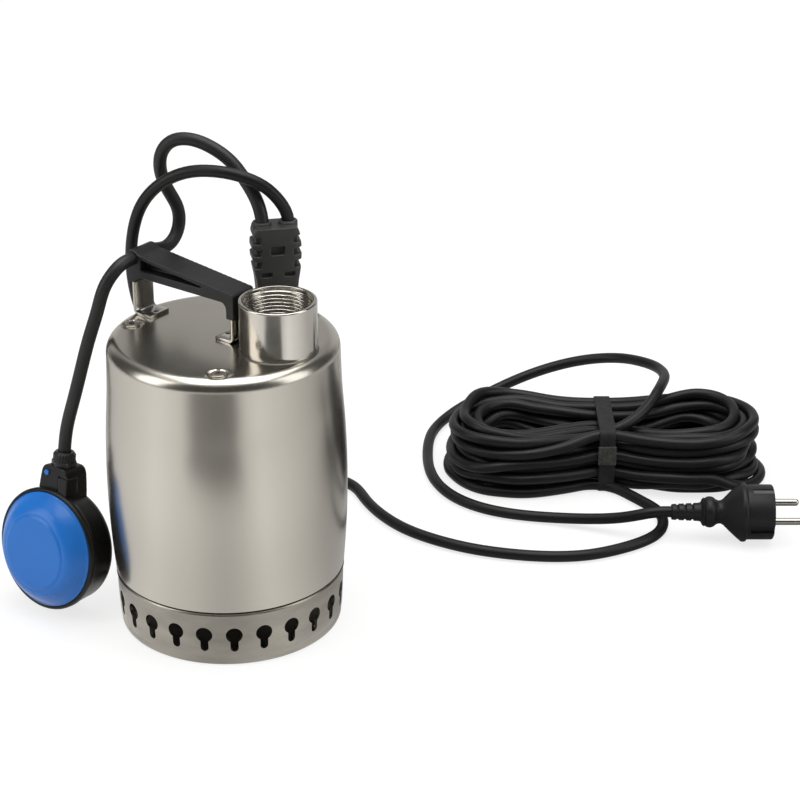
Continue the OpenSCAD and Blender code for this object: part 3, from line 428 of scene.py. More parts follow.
# float cable from the boot to the clamp in the grip
lead_points = [
    LEAD_IN, LEAD_OUT, [-2.5, 38, 264], [-11.5, 39, 274.5], [-22.5, 38.5, 285], [-35, 35.5, 292.5],
    [-48, 30.5, 296.5], [-58.5, 26.5, 294.5], [-66, 24.5, 286], [-68.5, 25.5, 273.5],
    [-68, 29, 263], [-66.5, 33, 254.5], [-65.3, 35.8, 247.5], [-64.3, 36, 239.5],
    [-63.5, 32.5, 232.3], [-63, 26, 227.6], [-63, 18, 226.4], [-63, 10.7, 228], [-63, -9.5, 228]]
# from the clamp down to the float, hanging
free_points = [
    [-63, -9.6, 228], [-63, -13.5, 228], [-63.3, -19.9, 226.8], [-64.4, -25.3, 223.2],
    [-66.5, -29.4, 217.4], [-71.3, -33.4, 200], [-76, -37, 182], [-81, -40.5, 161],
    [-86.5, -43.5, 139], [-92.6, -45.6, 115.9], [-92.6, -49.3, 95.0]]
# mains cable from the boot, down behind the casing and over the floor to the hank
mains_points = [
    MAINS_IN, MAINS_OUT, [9.5, 45.5, 264], [3.5, 39, 274], [-8, 31.5, 280.5],
    [-24, 25, 282.5], [-41, 19, 280], [-56, 13, 272], [-69, 9, 257.5], [-78, 9, 238],
    [-84, 12, 215], [-86.5, 17.5, 190], [-86, 27.5, 161], [-85, 39.5, 132], [-85, 52, 104],
    [-85, 67, 77], [-84.5, 84, 50], [-84, 102, 28], [-83.5, 123, 13], [-83, 144, 5.5],
    [-79.5, 160.5, 4], [-69.5, 173, 4],
    [-55, 179.5, 4], [-39, 178, 4], [-21, 167.5, 4], [2, 155.5, 4], [29, 148, 4], [55, 147.5, 4],
    [80, 151.5, 4], [104, 160, 4], [127, 172.5, 4], [147, 190, 4], [160, 211, 4], [167, 230, 4],
    [168, 246.5, 4], [164.4, 257.3, 4], [158.6, 265.9, 4]]
# its run up to the hank, and from the hank to the plug, in the hank's own frame
run_in = [
    [39.5, -85, 4], [36.5, -76, 4], [32, -66, 4], [26, -57, 4], [19, -48, 4.2], [10, -38, 5],
    [3, -31, 5.6]]
run_out = [
    [-4, -26.5, 43.5], [5, -24.5, 46], [13, -19.5, 49], [23, -10.5, 52.5], [32.5, 2, 55.5],
    [39, 16, 57], [43.5, 30, 57], [46, 45, 55.5], [42.5, 62, 54], [31.5, 79, 51.5],
    [17, 95, 47], [-4, 105, 41.5], [-29, 109, 34], [-55, 107, 25], [-79, 101, 15.5],
    [-100, 90, 8], [-115, 72, 4], [-122, 49, 4], [-124, 24, 4], [-123, -2, 4], [-117, -27, 4],
    [-104, -49, 4], [-84, -65, 4], [-60, -74, 4], [-35, -80, 5], [-11, -88, 8.5],
    [11, -96, 14.5], [30.4, -100, 20], [40, -100, 20]]

HANK_HALF = 68.0  # from the hank's middle to the centre of its end bends
LAYERS = [[39.5, 32, 24.8], [28.6, 36]] * 3 + [[39.5, 32, 24.8]]
LAYER_H = 7.0
TURNED_AT = 8  # the loop after which the winding turns round
WAIST = 12.0  # how far the tie draws the loops in
STATIONS = 24  # points on each loop


def hank_stations():
    """Points along the loops of the hank, wound from the bottom up. Loops are wound clockwise
    and then, after one crossing in the middle, the other way round."""
    random = np.random.default_rng(5)
    plan = [(r, 4 + LAYER_H * k) for k, layer in enumerate(LAYERS) for r in layer]
    loops = len(plan)
    plan.append((38, plan[-1][1]))
    points = []
    for m in range(loops):
        (r0, z0), (r1, z1) = plan[m], plan[m + 1]
        ends = {s: (random.uniform(-7, 3), random.uniform(-2.5, 2.5)) for s in (-1, 1)}
        for q in range(STATIONS):
            turning = (m == TURNED_AT and q < 3) or (m == TURNED_AT - 1 and q >= 12)
            if turning or (m == 0 and q == 0):
                continue
            r = r0 + (r1 - r0) * q / STATIONS
            z = z0 + (z1 - z0) * max(0, (q / STATIONS - 0.75) / 0.25)
            if q < 3:
                x, a = -HANK_HALF * q / 3, 270
            elif q < 10:
                x, a = -HANK_HALF, 270 - 30 * (q - 3)
            elif q < 15:
                x, a = HANK_HALF * (q - 12) / 3, 90
            elif q < 22:
                x, a = HANK_HALF, 90 - 30 * (q - 15)
            else:
                x, a = HANK_HALF * (STATIONS - q) / 3, -90
            if m >= TURNED_AT:
                x, a = -x, 180 - a
            drawn = (1 + math.cos(math.pi * min(1, abs(x) / HANK_HALF))) / 2
            px = x + r * math.cos(math.radians(a))
            py = (r - WAIST * drawn) * math.sin(math.radians(a))
            side = 1 if px > 0 else -1
            share = min(1, abs(px) / (HANK_HALF + r))
            points.append([px + side * ends[side][0] * share, py, z + ends[side][1] * share])
        if m == TURNED_AT - 1:
            points += [[0, 12, z0 + 4], [22, -2, z0 + 5], [44, -18, z0 + 4]]
    return points


SETTLE_STEPS = 360
LEAST_BEND = 28.0
TIE_HALF, TIE_Y, TIE_Z = 8, 27.8, 46.4  # room for the cable's centre line inside the tie
HANK_X, HANK_Y, HANK_Z = 112, 42, 57  # and in the hank as a whole


def settle(path, held):
    """Lets the hank settle: cable keeps its length and a least bend, lies beside itself and not
    in itself, rests on the floor and is drawn in by the tie. Points marked held stay."""
    x = path.copy()
    n = len(x)
    step = np.linalg.norm(np.diff(x, axis=0), axis=1).mean()
    away = np.abs(np.arange(n)[:, None] - np.nonzero(held)[0][None]).min(1)
    give = np.clip(away / 12, 0, 1)[:, None]
    free, inside = ~held, ~held & (away > 7)
    need, bow = MAINS_D + 0.3, (2 * step) ** 2 / (2 * LEAST_BEND)
    for turn in range(SETTLE_STEPS):
        if turn % 5 == 0:
            near = x.astype(np.float32)
            square = (near**2).sum(1)
            gap = square[:, None] + square[None] - 2 * near @ near.T
            i, j = np.nonzero(np.triu(gap < (need + 3) ** 2, 5))
            keep = (give[i, 0] + give[j, 0]) > 0
            i, j = i[keep], j[keep]
        smooth = x.copy()
        smooth[2:-2] = (-x[:-4] + 4 * x[1:-3] + 4 * x[3:-1] - x[4:]) / 6
        x += give * (0.5 if turn < SETTLE_STEPS * 0.6 else 0.3) * (smooth - x)
        x[:, 2] -= give[:, 0] * 0.02
        for _ in range(3):
            d = x[i] - x[j]
            size = np.maximum(np.linalg.norm(d, axis=1), 1e-6)
            m = size < need
            ii, jj = i[m], j[m]
            push = ((need - size[m]) / size[m])[:, None] * d[m]
            total = np.maximum(give[ii] + give[jj], 1e-9)
            moved, count = np.zeros_like(x), np.zeros((n, 1))
            np.add.at(moved, ii, push * give[ii] / total)
            np.add.at(moved, jj, -push * give[jj] / total)
            np.add.at(count, ii, 1.0)
            np.add.at(count, jj, 1.0)
            moved /= np.maximum(count, 1)
            moved[1:-1] = 0.25 * moved[:-2] + 0.5 * moved[1:-1] + 0.25 * moved[2:]
            x += np.minimum(give * 3, 1) * moved * 1.7
            lap = (x[:-4] + x[4:]) / 2 - x[2:-2]
            size = np.linalg.norm(lap, axis=1, keepdims=True)
            push = np.where(size > bow, lap * (1 - bow / np.maximum(size, 1e-9)), 0) * 0.4
            x[2:-2] += give[2:-2] * push
            x[:-4] -= give[:-4] * push * 0.5
            x[4:] -= give[4:] * push * 0.5
            for start in (0, 1):
                a = np.arange(start, n - 1, 2)
                e = x[a + 1] - x[a]
                size = np.linalg.norm(e, axis=1, keepdims=True)
                pull = e * (1 - step / np.maximum(size, 1e-6)) * 0.9
                total = np.maximum(give[a] + give[a + 1], 1e-9)
                x[a] += pull * give[a] / total
                x[a + 1] -= pull * give[a + 1] / total
            past = np.maximum(np.abs(x[:, 0]) - TIE_HALF, 0)
            y_most = np.minimum(TIE_Y + past * 0.55, HANK_Y)
            z_most = np.minimum(TIE_Z + past * 0.3, HANK_Z)
            x[inside, 1] = np.clip(x[inside, 1], -y_most[inside], y_most[inside])
            x[inside, 2] = np.minimum(x[inside, 2], z_most[inside])
            x[free, 2] = np.maximum(x[free, 2], MAINS_D / 2 + 0.2)
            x[free, 0] = np.clip(x[free, 0], -HANK_X, HANK_X)
    return x


def nearest(path, point):
    return int(np.linalg.norm(path - np.array(point), axis=1).argmin())


STEP, MAINS_STEP, LEAD_STEP = 4.2, 3.6, 2.5
hank = spline(run_in + hank_stations() + run_out, STEP)
held = np.zeros(len(hank), bool)
held[:nearest(hank, run_in[4])] = True
held[len(hank) - 1 - nearest(hank[::-1], run_out[5]):] = True
hank = settle(hank, held)
# the cable from the pump meets the hank at the third point of its run in
hank_row = np.array(placed(HANK_AT, hank))[nearest(hank, run_in[2]):]
to_hank = spline(mains_points + [list(p) for p in hank_row[0:9:4]], STEP)
join_at = nearest(to_hank, hank_row[0])
mains_path = np.vstack([to_hank[:join_at], hank_row])
mains_path = spline(np.vstack([mains_path[:-1:2], mains_path[-1:]]), MAINS_STEP)

lead_path = spline(lead_points, LEAD_STEP)
free_path = spline(free_points, LEAD_STEP)

float_lead = sweep("float_lead_sheath", lead_path, LEAD_D / 2, 20)
paint(float_lead, cable_rubber, "black_rubber")
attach(float_lead, "casing")
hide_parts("float_lead")

free_lead = sweep("float_lead_drop", free_path, LEAD_D / 2, 20)
paint(free_lead, cable_rubber, "black_rubber")
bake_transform(free_lead)
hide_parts("float_lead_free")

mains = sweep("mains_sheath", mains_path, MAINS_D / 2, 14)
paint(mains, shaded_mains_rubber, "black_rubber")
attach(mains, "casing")
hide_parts("mains_cable", "cable_hank", "cable_tail")

# ---------- Casing ----------

SEAM_R, SEAM_Z, CROWN_Z, SHEET = 71.7, 37.5, 190.4, 1.2
SHOULDER_R, ROUND = 71.0, 8.0
SWELL_MID, SWELL_TOP, SWELL = 97.5, 157, 2.8
PORT, PORT_R = (41, 2.8), 19.455
SCREWS_R, DIMPLE_R, DIMPLE_EDGE, DIMPLE_DEEP = 58.9, 7.0, 1.3, 1.5
SCREWS = [(SCREWS_R * math.cos(math.radians(a)), SCREWS_R * math.sin(math.radians(a)))
          for a in (-52.6, 67, 200.9)]


def swell(z):
    """The casing's radius where it bulges, from the seam up to the top of the swell."""
    return SEAM_R + SWELL * (1 - ((z - SWELL_MID) / (SWELL_TOP - SWELL_MID)) ** 2)


def sleeve_line(inset):
    """Half the sleeve's outline, from the seam over the shoulder to the axis."""
    high = CROWN_Z - ROUND
    z = np.linspace(38 + inset * 0.2, high, 120)
    top = SHOULDER_R + (SEAM_R - SHOULDER_R) * (high - z) / (high - SWELL_TOP)
    r = np.where(z < SWELL_TOP, swell(z), top)
    for _ in range(50):  # eases the change of slope at the height where the swell ends
        r[1:-1] = (r[:-2] + 2 * r[1:-1] + r[2:]) / 4
    side = [(a - inset, b) for a, b in zip(r[:-1], z[:-1])]
    turn = arc(SHOULDER_R - ROUND, high, ROUND - inset, 0, 90, 20)
    plate = [(r, CROWN_Z - inset) for r in np.linspace(62.2, 0.8, 62)]
    return side + turn + plate + [(0, CROWN_Z - inset)]


def pressed(point):
    """Sinks the plate into soft-edged dimples under the screws."""
    x, y, z = point
    if z < CROWN_Z - 4:
        return point
    for sx, sy in SCREWS:
        u = min(1, max(0, (DIMPLE_R - math.hypot(x - sx, y - sy)) / DIMPLE_EDGE))
        z -= DIMPLE_DEEP * u * u * (3 - 2 * u)
    return x, y, z


sleeve = lathe("sleeve_skin", sleeve_line(0) + sleeve_line(SHEET)[::-1], 256, shape=pressed)
for spot, r in ((PORT, PORT_R), ((7, 43), 8)):
    carve(sleeve, bar(r, 180, 200, 96, spot))
sharpen(sleeve, 40)
paint(sleeve, casing_steel, "steel")
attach(sleeve, "casing")
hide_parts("sleeve")

FOOT_R = SEAM_R - 2.2
basket_out = ([(0, 0.0), (FOOT_R - 2.6, 0.0)] + arc(FOOT_R - 2.2, 2.2, 2.2, -78, 0, 8)
              + shifted(FOOT_R, 0, [(0.1, 3.6), (0.1, 4.3), (-0.05, 4.9), (0.1, 5.4), (0.4, 5.9)])
              + [(FOOT_R + 0.5 + 1.1 * math.sin(u * math.pi / 2), 5.9 + 29 * u)
                 for u in np.linspace(0.08, 1, 14)]
              + arc(SEAM_R - 2.0, SEAM_Z - 2.6, 1.95, -30, 90, 10)
              + shifted(SEAM_R, SEAM_Z, [(-4.0, -0.65), (-4.4, -0.05)]))
basket_in = (shifted(SEAM_R, SEAM_Z, [(-6, -0.05), (-6, -SHEET), (-1.9, -SHEET - 0.4)])
             + shifted(FOOT_R - SHEET, 0, [(0.3, 22.5), (-0.7, 5.8), (-0.9, 3.4)])
             + [(FOOT_R - 3.8, 1.4), (0, 1.4)])
strainer = lathe("strainer_basket", basket_out + basket_in, 240)


def keyhole(angle):
    """Cutter for one inlet: a round hole running down into a narrow slot."""
    outline = arc(0, 21.6, 5.15, -61, 241, 26) + arc(0, 12.6, 2.5, 180, 360, 10)
    turn = turned(angle, "Z")
    return prism("cutter", *(placed(turn, [(r, y, z) for y, z in outline]) for r in (60, 80)))


INLETS, FIRST_INLET = 24, 11.6
carve(strainer, join("cutter", [keyhole(FIRST_INLET + 360 / INLETS * i)
                                for i in range(INLETS)]))
sharpen(strainer, 38)
paint(strainer, strainer_steel, "steel")
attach(strainer, "casing")
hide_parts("strainer")

# ---------- Discharge port ----------

SOCKET_R, SOCKET_TOP, THREAD_R, PITCH, THREAD_DEEP = 23.6, CROWN_Z + 32, 20.955, 2.309, 1.15
thread_rows = np.linspace(SOCKET_TOP - 1.6, CROWN_Z + 0.4, 130)
socket_line = (shifted(SOCKET_R, CROWN_Z, [(-0.25, -0.02), (-0.25, 0.6), (0, 1.2)])
               + [(SOCKET_R, z) for z in np.linspace(CROWN_Z + 4, SOCKET_TOP - 1.2, 6)]
               + arc(SOCKET_R - 0.9, SOCKET_TOP - 0.9, 0.9, 0, 90, 6)
               + arc(THREAD_R + 0.6, SOCKET_TOP - 0.4, 0.4, 90, 180, 3)
               + [(THREAD_R, z) for z in thread_rows] + [(THREAD_R, CROWN_Z - 0.02)])


def threaded(point):
    """Turns the socket's bore into a thread, fading out at its mouth."""
    x, y, z = point
    r = math.hypot(x, y)
    if abs(r - THREAD_R) > 0.01 or not CROWN_Z + 0.3 < z < SOCKET_TOP - 1.5:
        return point
    turn = math.atan2(y, x) / (2 * math.pi)
    u = (z / PITCH - turn) % 1
    crest = 1 - abs(2 * u - 1)
    near = min(1, (SOCKET_TOP - 1.5 - z) / 2.5)
    k = 1 - THREAD_DEEP * near * min(1, max(0, crest * 1.45 - 0.2)) / r
    return x * k, y * k, z


socket = lathe("threaded_socket", socket_line, 144, centre=PORT, shape=threaded)
sharpen(socket, 50)
paint(socket, bright_steel, "bright_steel")
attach(socket, "casing")
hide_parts("discharge_socket")
bead = shifted(SOCKET_R, CROWN_Z, [(-0.6, -0.3), (0.75, -0.3), (0.7, 0.1), (0.4, 0.3),
                                   (0.1, 0.7), (-0.6, 0.8)])
weld = lathe("socket_weld", bead, 144, centre=PORT)
paint(weld, weld_steel, "bright_steel")
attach(weld, "casing")

# ---------- Handle ----------

GRIP_Z = CROWN_Z + 26
STRAP_TOP = GRIP_Z + 3.2
LEG_L, LEG_R, STRAP_T, STRAP_W, GRIP_W = -65.0, 15.0, 2.0, 17.0, 19.4
STRAP_BEND, FOOT = 4, 14
CLAMP = (-63.0, 228.0)


def strap_line():
    """Outer face of the strap in the plane of the handle, from one foot to the other."""
    c = STRAP_BEND
    left = [(LEG_L + FOOT, CROWN_Z + 0.02)] + arc(LEG_L + c, CROWN_Z + c, c, 270, 180, 10)
    left += arc(LEG_L + c, STRAP_TOP - c, c, 180, 90, 10)
    right = arc(LEG_R - c, STRAP_TOP - c, c, 90, 0, 10)
    right += arc(LEG_R - c, CROWN_Z + c, c, 0, -90, 10) + [(LEG_R - FOOT, CROWN_Z + 0.02)]
    return left + right


def ribbon(name, line, width, thick):
    """A flat strip bent along a line of (x, z) points, its thickness on the inner side."""
    line = np.array(line)
    heading = np.gradient(line, axis=0)
    heading /= np.linalg.norm(heading, axis=1)[:, None]
    normal = np.stack([heading[:, 1], -heading[:, 0]], -1)
    rings = []
    for side, deep in ((-1, 0), (1, 0), (1, 1), (-1, 1)):
        edge = line + normal * deep * thick
        rings.append([(x, side * width / 2, z) for x, z in edge])
    n = len(line)
    points = [p for ring in rings for p in ring]
    faces = [(a * n + i, a * n + i + 1, b * n + i + 1, b * n + i)
             for a, b in ((0, 1), (1, 2), (2, 3), (3, 0)) for i in range(n - 1)]
    faces += [(0, n, 2 * n, 3 * n), (n - 1, 4 * n - 1, 3 * n - 1, 2 * n - 1)]
    return mesh_piece(name, points, faces, smooth=False)


strap = ribbon("carrying_strap", strap_line(), STRAP_W, STRAP_T)
for x in (LEG_L + 11, LEG_R - 11):
    carve(strap, bar(1.6, 188, 196, 32, (x, 0)))
sharpen(round_edges(strap, 0.3, 50), 30)
paint(strap, strap_steel, "bright_steel")
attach(strap, "casing")
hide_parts("handle_strap")


def slab(name, outline, y0, y1):
    """A prism from an outline of (x, z) points, reaching from y0 to y1."""
    return prism(name, *([(x, y, z) for x, z in outline] for y in (y0, y1)))


def rod(r, y0, y1, x, z, turns=64):
    """A round cutter along Y."""
    return bar(r, -y1, -y0, turns, move=Matrix.Translation((x, 0, z)) @ turned(90, "X"))


VOXEL, SMOOTHINGS = 0.42, 5


def moulded(obj):
    """Fuses a rough build-up into one moulded skin with softly rounded edges."""
    mod = obj.modifiers.new("skin", "REMESH")
    mod.mode = "VOXEL"
    mod.voxel_size = VOXEL * MM
    mod = obj.modifiers.new("soften", "SMOOTH")
    mod.factor = 0.5
    mod.iterations = SMOOTHINGS
    apply_modifiers(obj)
    obj.data.polygons.foreach_set("use_smooth", [True] * len(obj.data.polygons))
    return obj


left_in, right_in, wedge_x = LEG_L + 4, LEG_R - 4, LEG_L + 8
CLAMP_R = 5.5
grip_left, grip_right = CLAMP[0] - 6.45, LEG_R + 1.8
grip_outline = ([(grip_left + 1, CLAMP[1]), (grip_left + 1.5, GRIP_Z - 4), (left_in, GRIP_Z - 4)]
                + arc(left_in + 4, GRIP_Z - 4, 4, 180, 90, 8)
                + arc(right_in - 4, GRIP_Z - 4, 4, 90, 0, 8)
                + [(right_in, GRIP_Z - 10), (grip_right, GRIP_Z - 10)]
                + arc(grip_right - 1.5, GRIP_Z + 5.1, 1.5, 0, 80, 6)
                + [(wedge_x, GRIP_Z + 14.6), (CLAMP[0], CLAMP[1] + CLAMP_R)])
half = GRIP_W / 2
grip = slab("grip", grip_outline, -half, half)
carve(grip, rod(CLAMP_R, -half, half, *CLAMP), "UNION")
pocket = shifted(wedge_x, GRIP_Z, [(0.6, 4.9), (54, 5.4), (0.6, 12.3)])
for y0, y1 in ((-half - 1, -half + 6.5), (half - 6.5, half + 1)):
    carve(grip, slab("cutter", pocket, y0, y1))
moulded(grip)
carve(grip, rod(4.15, -half - 1, half + 1, *CLAMP))
sharpen(grip, 60)
paint(grip, black_plastic, "black_plastic")
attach(grip, "casing")
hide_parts("handle_grip")

# ---------- Cable boot ----------

BOOT_W, BOOT_T, BOOT_H = 30.4, 19.0, 58.0
boot_side = [(0.40, 0.0), (0.37, 0.035), (0.36, 0.10), (0.365, 0.16), (0.39, 0.22), (0.405, 0.32),
             (0.42, 0.40), (0.45, 0.48), (0.475, 0.55), (0.49, 0.62), (0.5, 0.70), (0.5, 0.77),
             (0.49, 0.85), (0.468, 0.92), (0.44, 0.97), (0.40, 1.0)]
boot = slab("boot", [(w * BOOT_W, h * BOOT_H) for w, h in boot_side]
            + [(-w * BOOT_W, h * BOOT_H) for w, h in boot_side[::-1]], -BOOT_T / 2, BOOT_T / 2)
corner = 5.5
column_line = []
for sx, sy, a in ((1, 1, 0), (-1, 1, 90), (-1, -1, 180), (1, -1, 270)):
    column_line += arc(sx * (BOOT_W / 2 + 0.5 - corner), sy * (BOOT_T / 2 - corner), corner,
                       a, a + 90, 10)
carve(boot, prism("cutter", *([(x, y, z) for x, y in column_line] for z in (-1, BOOT_H + 1))),
      "INTERSECT")
collar = [(0, BOOT_H * 0.92), (5.9, BOOT_H * 0.92), (5.9, BOOT_H + 1.6), (5.2, BOOT_H + 2.4),
          (0, BOOT_H + 2.4)]
for side in (-1, 1):
    carve(boot, lathe("cutter", collar, 64, centre=(side * BOOT_PITCH, 0)), "UNION")
carve(boot, lathe("cutter", [(0, 0), (11, 0), (11, 4), (9.5, 5), (0, 5)], 64), "UNION")
for side in (-1, 1):
    for row in (0.60, 0.735, 0.87):
        z = row * BOOT_H
        outer = side * (BOOT_W * 0.97 - 1.6)
        carve(boot, block((BOOT_W, BOOT_T + 2, 3.6), (outer, 0, z)))
        for face in (-1, 1):
            at = (side * BOOT_W * 0.82, face * BOOT_T / 2, z)
            carve(boot, block((BOOT_W, 7, 4.2), at))
    for face in (-1, 1):
        at = (side * BOOT_W * 0.23, face * BOOT_T / 2, 0.49 * BOOT_H)
        carve(boot, block((6.8, 5, 2.8), at))
for face in (-1, 1):
    carve(boot, block((8.6, 6.4, 5.4), (0, face * BOOT_T / 2, 0.755 * BOOT_H)))
moulded(boot)
for side, r in ((-1, LEAD_D / 2), (1, MAINS_D / 2)):
    carve(boot, bar(r + 0.25, 50, 70, 48, (side * BOOT_PITCH, 0)))
sharpen(boot, 60)
boot.data.transform(in_metres(BOOT_AT))
paint(boot, boot_rubber, "black_rubber")
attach(boot, "casing")
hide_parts("cable_boot")

# ---------- Float ----------

FLOAT_AT = Matrix.Translation((-92.6, -68.5, 43.8)) @ turned(-10, "X")
FACE_AT = FLOAT_AT @ turned(90, "X")
FLOAT_R, NECK_Y, NECK_TOP = 39.3, 10.0, 54.0
shell_out = (shifted(FLOAT_R, 0, [
    (-2.25, 0.8), (-2.05, 1.4), (-1.5, 1.7), (-0.8, 1.6), (-0.25, 1.1), (0, 0.3), (0, -1.9),
    (-0.25, -2.3), (-0.6, -2.8)])
             + [(FLOAT_R - 0.6 - 1.8 * u, -2.8 - 13.6 * u) for u in np.linspace(0.1, 0.95, 8)]
             + arc(FLOAT_R - 10.2, -16.6, 7.8, 0, -90, 16) + [(20, -24.4), (0, -24.4)])
shell_in = ([(0, -22.4), (FLOAT_R - 10.2, -22.4)] + arc(FLOAT_R - 10.2, -16.6, 5.8, -90, 0, 8)
            + shifted(FLOAT_R, 0, [(-3.6, -1.0), (-3.6, 0), (-2.25, 0)]))
shell = lathe("float_back", shell_out + shell_in, 192, move=FACE_AT)
neck_side = [(13, 30), (12.4, 38), (11.6, 45), (10.9, NECK_TOP - 4.6), (9.9, NECK_TOP - 2.0),
             (8.2, NECK_TOP - 0.5), (6.4, NECK_TOP)]
neck = slab("cutter", neck_side + [(-x, z) for x, z in neck_side[::-1]], NECK_Y - 8.2, NECK_Y + 9.6)
carve(neck, block((7.6, 10, 12.5), (8.6, NECK_Y - 4.9, 42.3)), "UNION")
carve(neck, block((1.1, 3, 14), (4.2, NECK_Y - 8.4, 42.3)))
moulded(neck)
carve(neck, rod(1.75, NECK_Y - 12, NECK_Y - 4.5, -6, NECK_TOP - 5, 32))
carve(neck, bar(4.2, 28, 60, 48, (0, NECK_Y)))
neck.data.transform(in_metres(FLOAT_AT))
carve(shell, neck, "UNION")
sharpen(shell, 38)
paint(shell, shell_plastic, "black_plastic")
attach(shell, "float")
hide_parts("float_shell")

CAP_R, FACET_R, DOME = FLOAT_R - 2.4, 23.3, 13.0


def bulge(r0, r1, z0, rise, shares):
    """Points of a dome from (r0, z0) in to r1, rising along a quarter of a sine."""
    return [(r0 - (r0 - r1) * u, z0 + rise * math.sin(math.pi / 2 * u)) for u in shares]


cap_out = [(CAP_R, 0.1), (CAP_R, 1.5)] + arc(CAP_R - 0.8, 1.6, 0.8, 0, 60, 4)
cap_out += bulge(CAP_R - 0.7, FACET_R + 0.8, 2.3, DOME - 3.2, np.linspace(0.03, 0.985, 26))
cap_out += shifted(FACET_R, DOME, [(0.6, -0.75), (0.1, -0.25), (-0.7, -0.02)])
cap_out += [(r, DOME) for r in (FACET_R - 2, 16, 8, 0)]
cap_in = [(0, DOME - 2), (FACET_R - 1, DOME - 2)]
cap_in += bulge(CAP_R - 2.7, FACET_R, 1, DOME - 4, (0.8, 0.5, 0.2)) + [(CAP_R - 2, 0.1)]
cap = lathe("float_face", cap_out + cap_in, 192, move=FACE_AT)
sharpen(cap, 42)
paint(cap, blue_plastic, "float_blue")
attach(cap, "float")
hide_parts("float_cap")

gland_line = [(4.2, 0.05), (8.0, 0.05), (8.0, 2.6), (7.4, 3.1), (7.0, 3.2), (7.0, 7.2),
              (6.6, 7.9), (5.8, 8.9), (4.9, 9), (4.2, 8.8)]


def knurled(point):
    """Flats round the foot of the nut and small ribs round its upper part."""
    x, y, z = point
    r, a = math.hypot(x, y), math.atan2(y, x)
    if r > 7.5:
        r = min(r, 7.15 / math.cos((a + math.pi / 6) % (math.pi / 3) - math.pi / 6))
    elif r > 6.9:
        r += 0.14 * math.cos(24 * a)
    return r * math.cos(a), r * math.sin(a), z


gland = lathe("gland_nut", gland_line, 144, shape=knurled,
              move=FLOAT_AT @ Matrix.Translation((0, NECK_Y, NECK_TOP)))
sharpen(gland, 30)
paint(gland, black_plastic, "black_plastic")
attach(gland, "float")
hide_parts("float_gland")

# ---------- Plug ----------

PLUG_AT = HANK_AT @ Matrix.Translation((38, -100, 20))
TURN_X = turned(90, "Y")
ROLL = turned(-75, "X")
plug_line = ([(0, 0), (4.9, 0), (5.3, 0.5), (5.5, 4), (6.2, 18), (6.6, 19.4), (8.8, 20.5),
              (9.7, 21.6)]
             + arc(5.5, 25.5, 5, -45, 50, 10)
             + [(8.3, 30.2), (7.8, 31.5), (7.9, 33.0), (8.8, 34.6), (10.4, 36.2), (13.4, 39.2),
                (16.8, 42.8), (18.9, 45.3), (19.7, 46.1), (20, 46.9), (20, 48.5), (19.6, 49.2),
                (18.5, 49.8), (18.5, 66.3), (18.2, 67.1), (17.6, 67.5), (0, 67.5)])


def ridged(point):
    """Lengthwise finger ridges round the body, fading out at both ends."""
    x, y, z = point
    r, a = math.hypot(x, y), math.atan2(y, x)
    if r > 17 and 50 < z < 66.5:
        fade = min(1, (z - 50) / 2, (66.5 - z) / 3)
        r -= 0.45 * fade * max(0, math.cos(30 * a)) ** 2
    return r * math.cos(a), r * math.sin(a), z


plug = lathe("plug_shell", plug_line, 240, shape=ridged)
plug.data.transform(TURN_X)
for x in (4, 9, 14):
    for side in (-1, 1):
        carve(plug, block((1.8, 20, 5), (x, 0, side * 5.6)))
for side in (-1, 1):
    for tool in (block((18, 6, 4), (60.5, 0, side * 18.5)),
                 block((16, 1.65, 4), (61.5, side * 17.7, 0))):
        tool.data.transform(ROLL)
        carve(plug, tool)
sharpen(plug, 34)
plug.data.transform(in_metres(PLUG_AT))
paint(plug, plug_rubber, "black_rubber")
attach(plug, "casing")
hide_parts("plug_body")

# ---------- Tie round the hank ----------


def hull(points):
    """Corners of the convex outline of some (y, z) points, anticlockwise."""
    points = sorted(map(tuple, points))

    def half(run):
        out = []
        for p in run:
            while len(out) > 1 and ((out[-1][0] - out[-2][0]) * (p[1] - out[-2][1])
                                    - (out[-1][1] - out[-2][1]) * (p[0] - out[-2][0])) <= 0:
                out.pop()
            out.append(p)
        return out[:-1]
    return half(points) + half(points[::-1])


TIE_REACH = (9, 29, 47.5)  # the part of the hank that the tie lies round
THREADS = 23  # points across the band


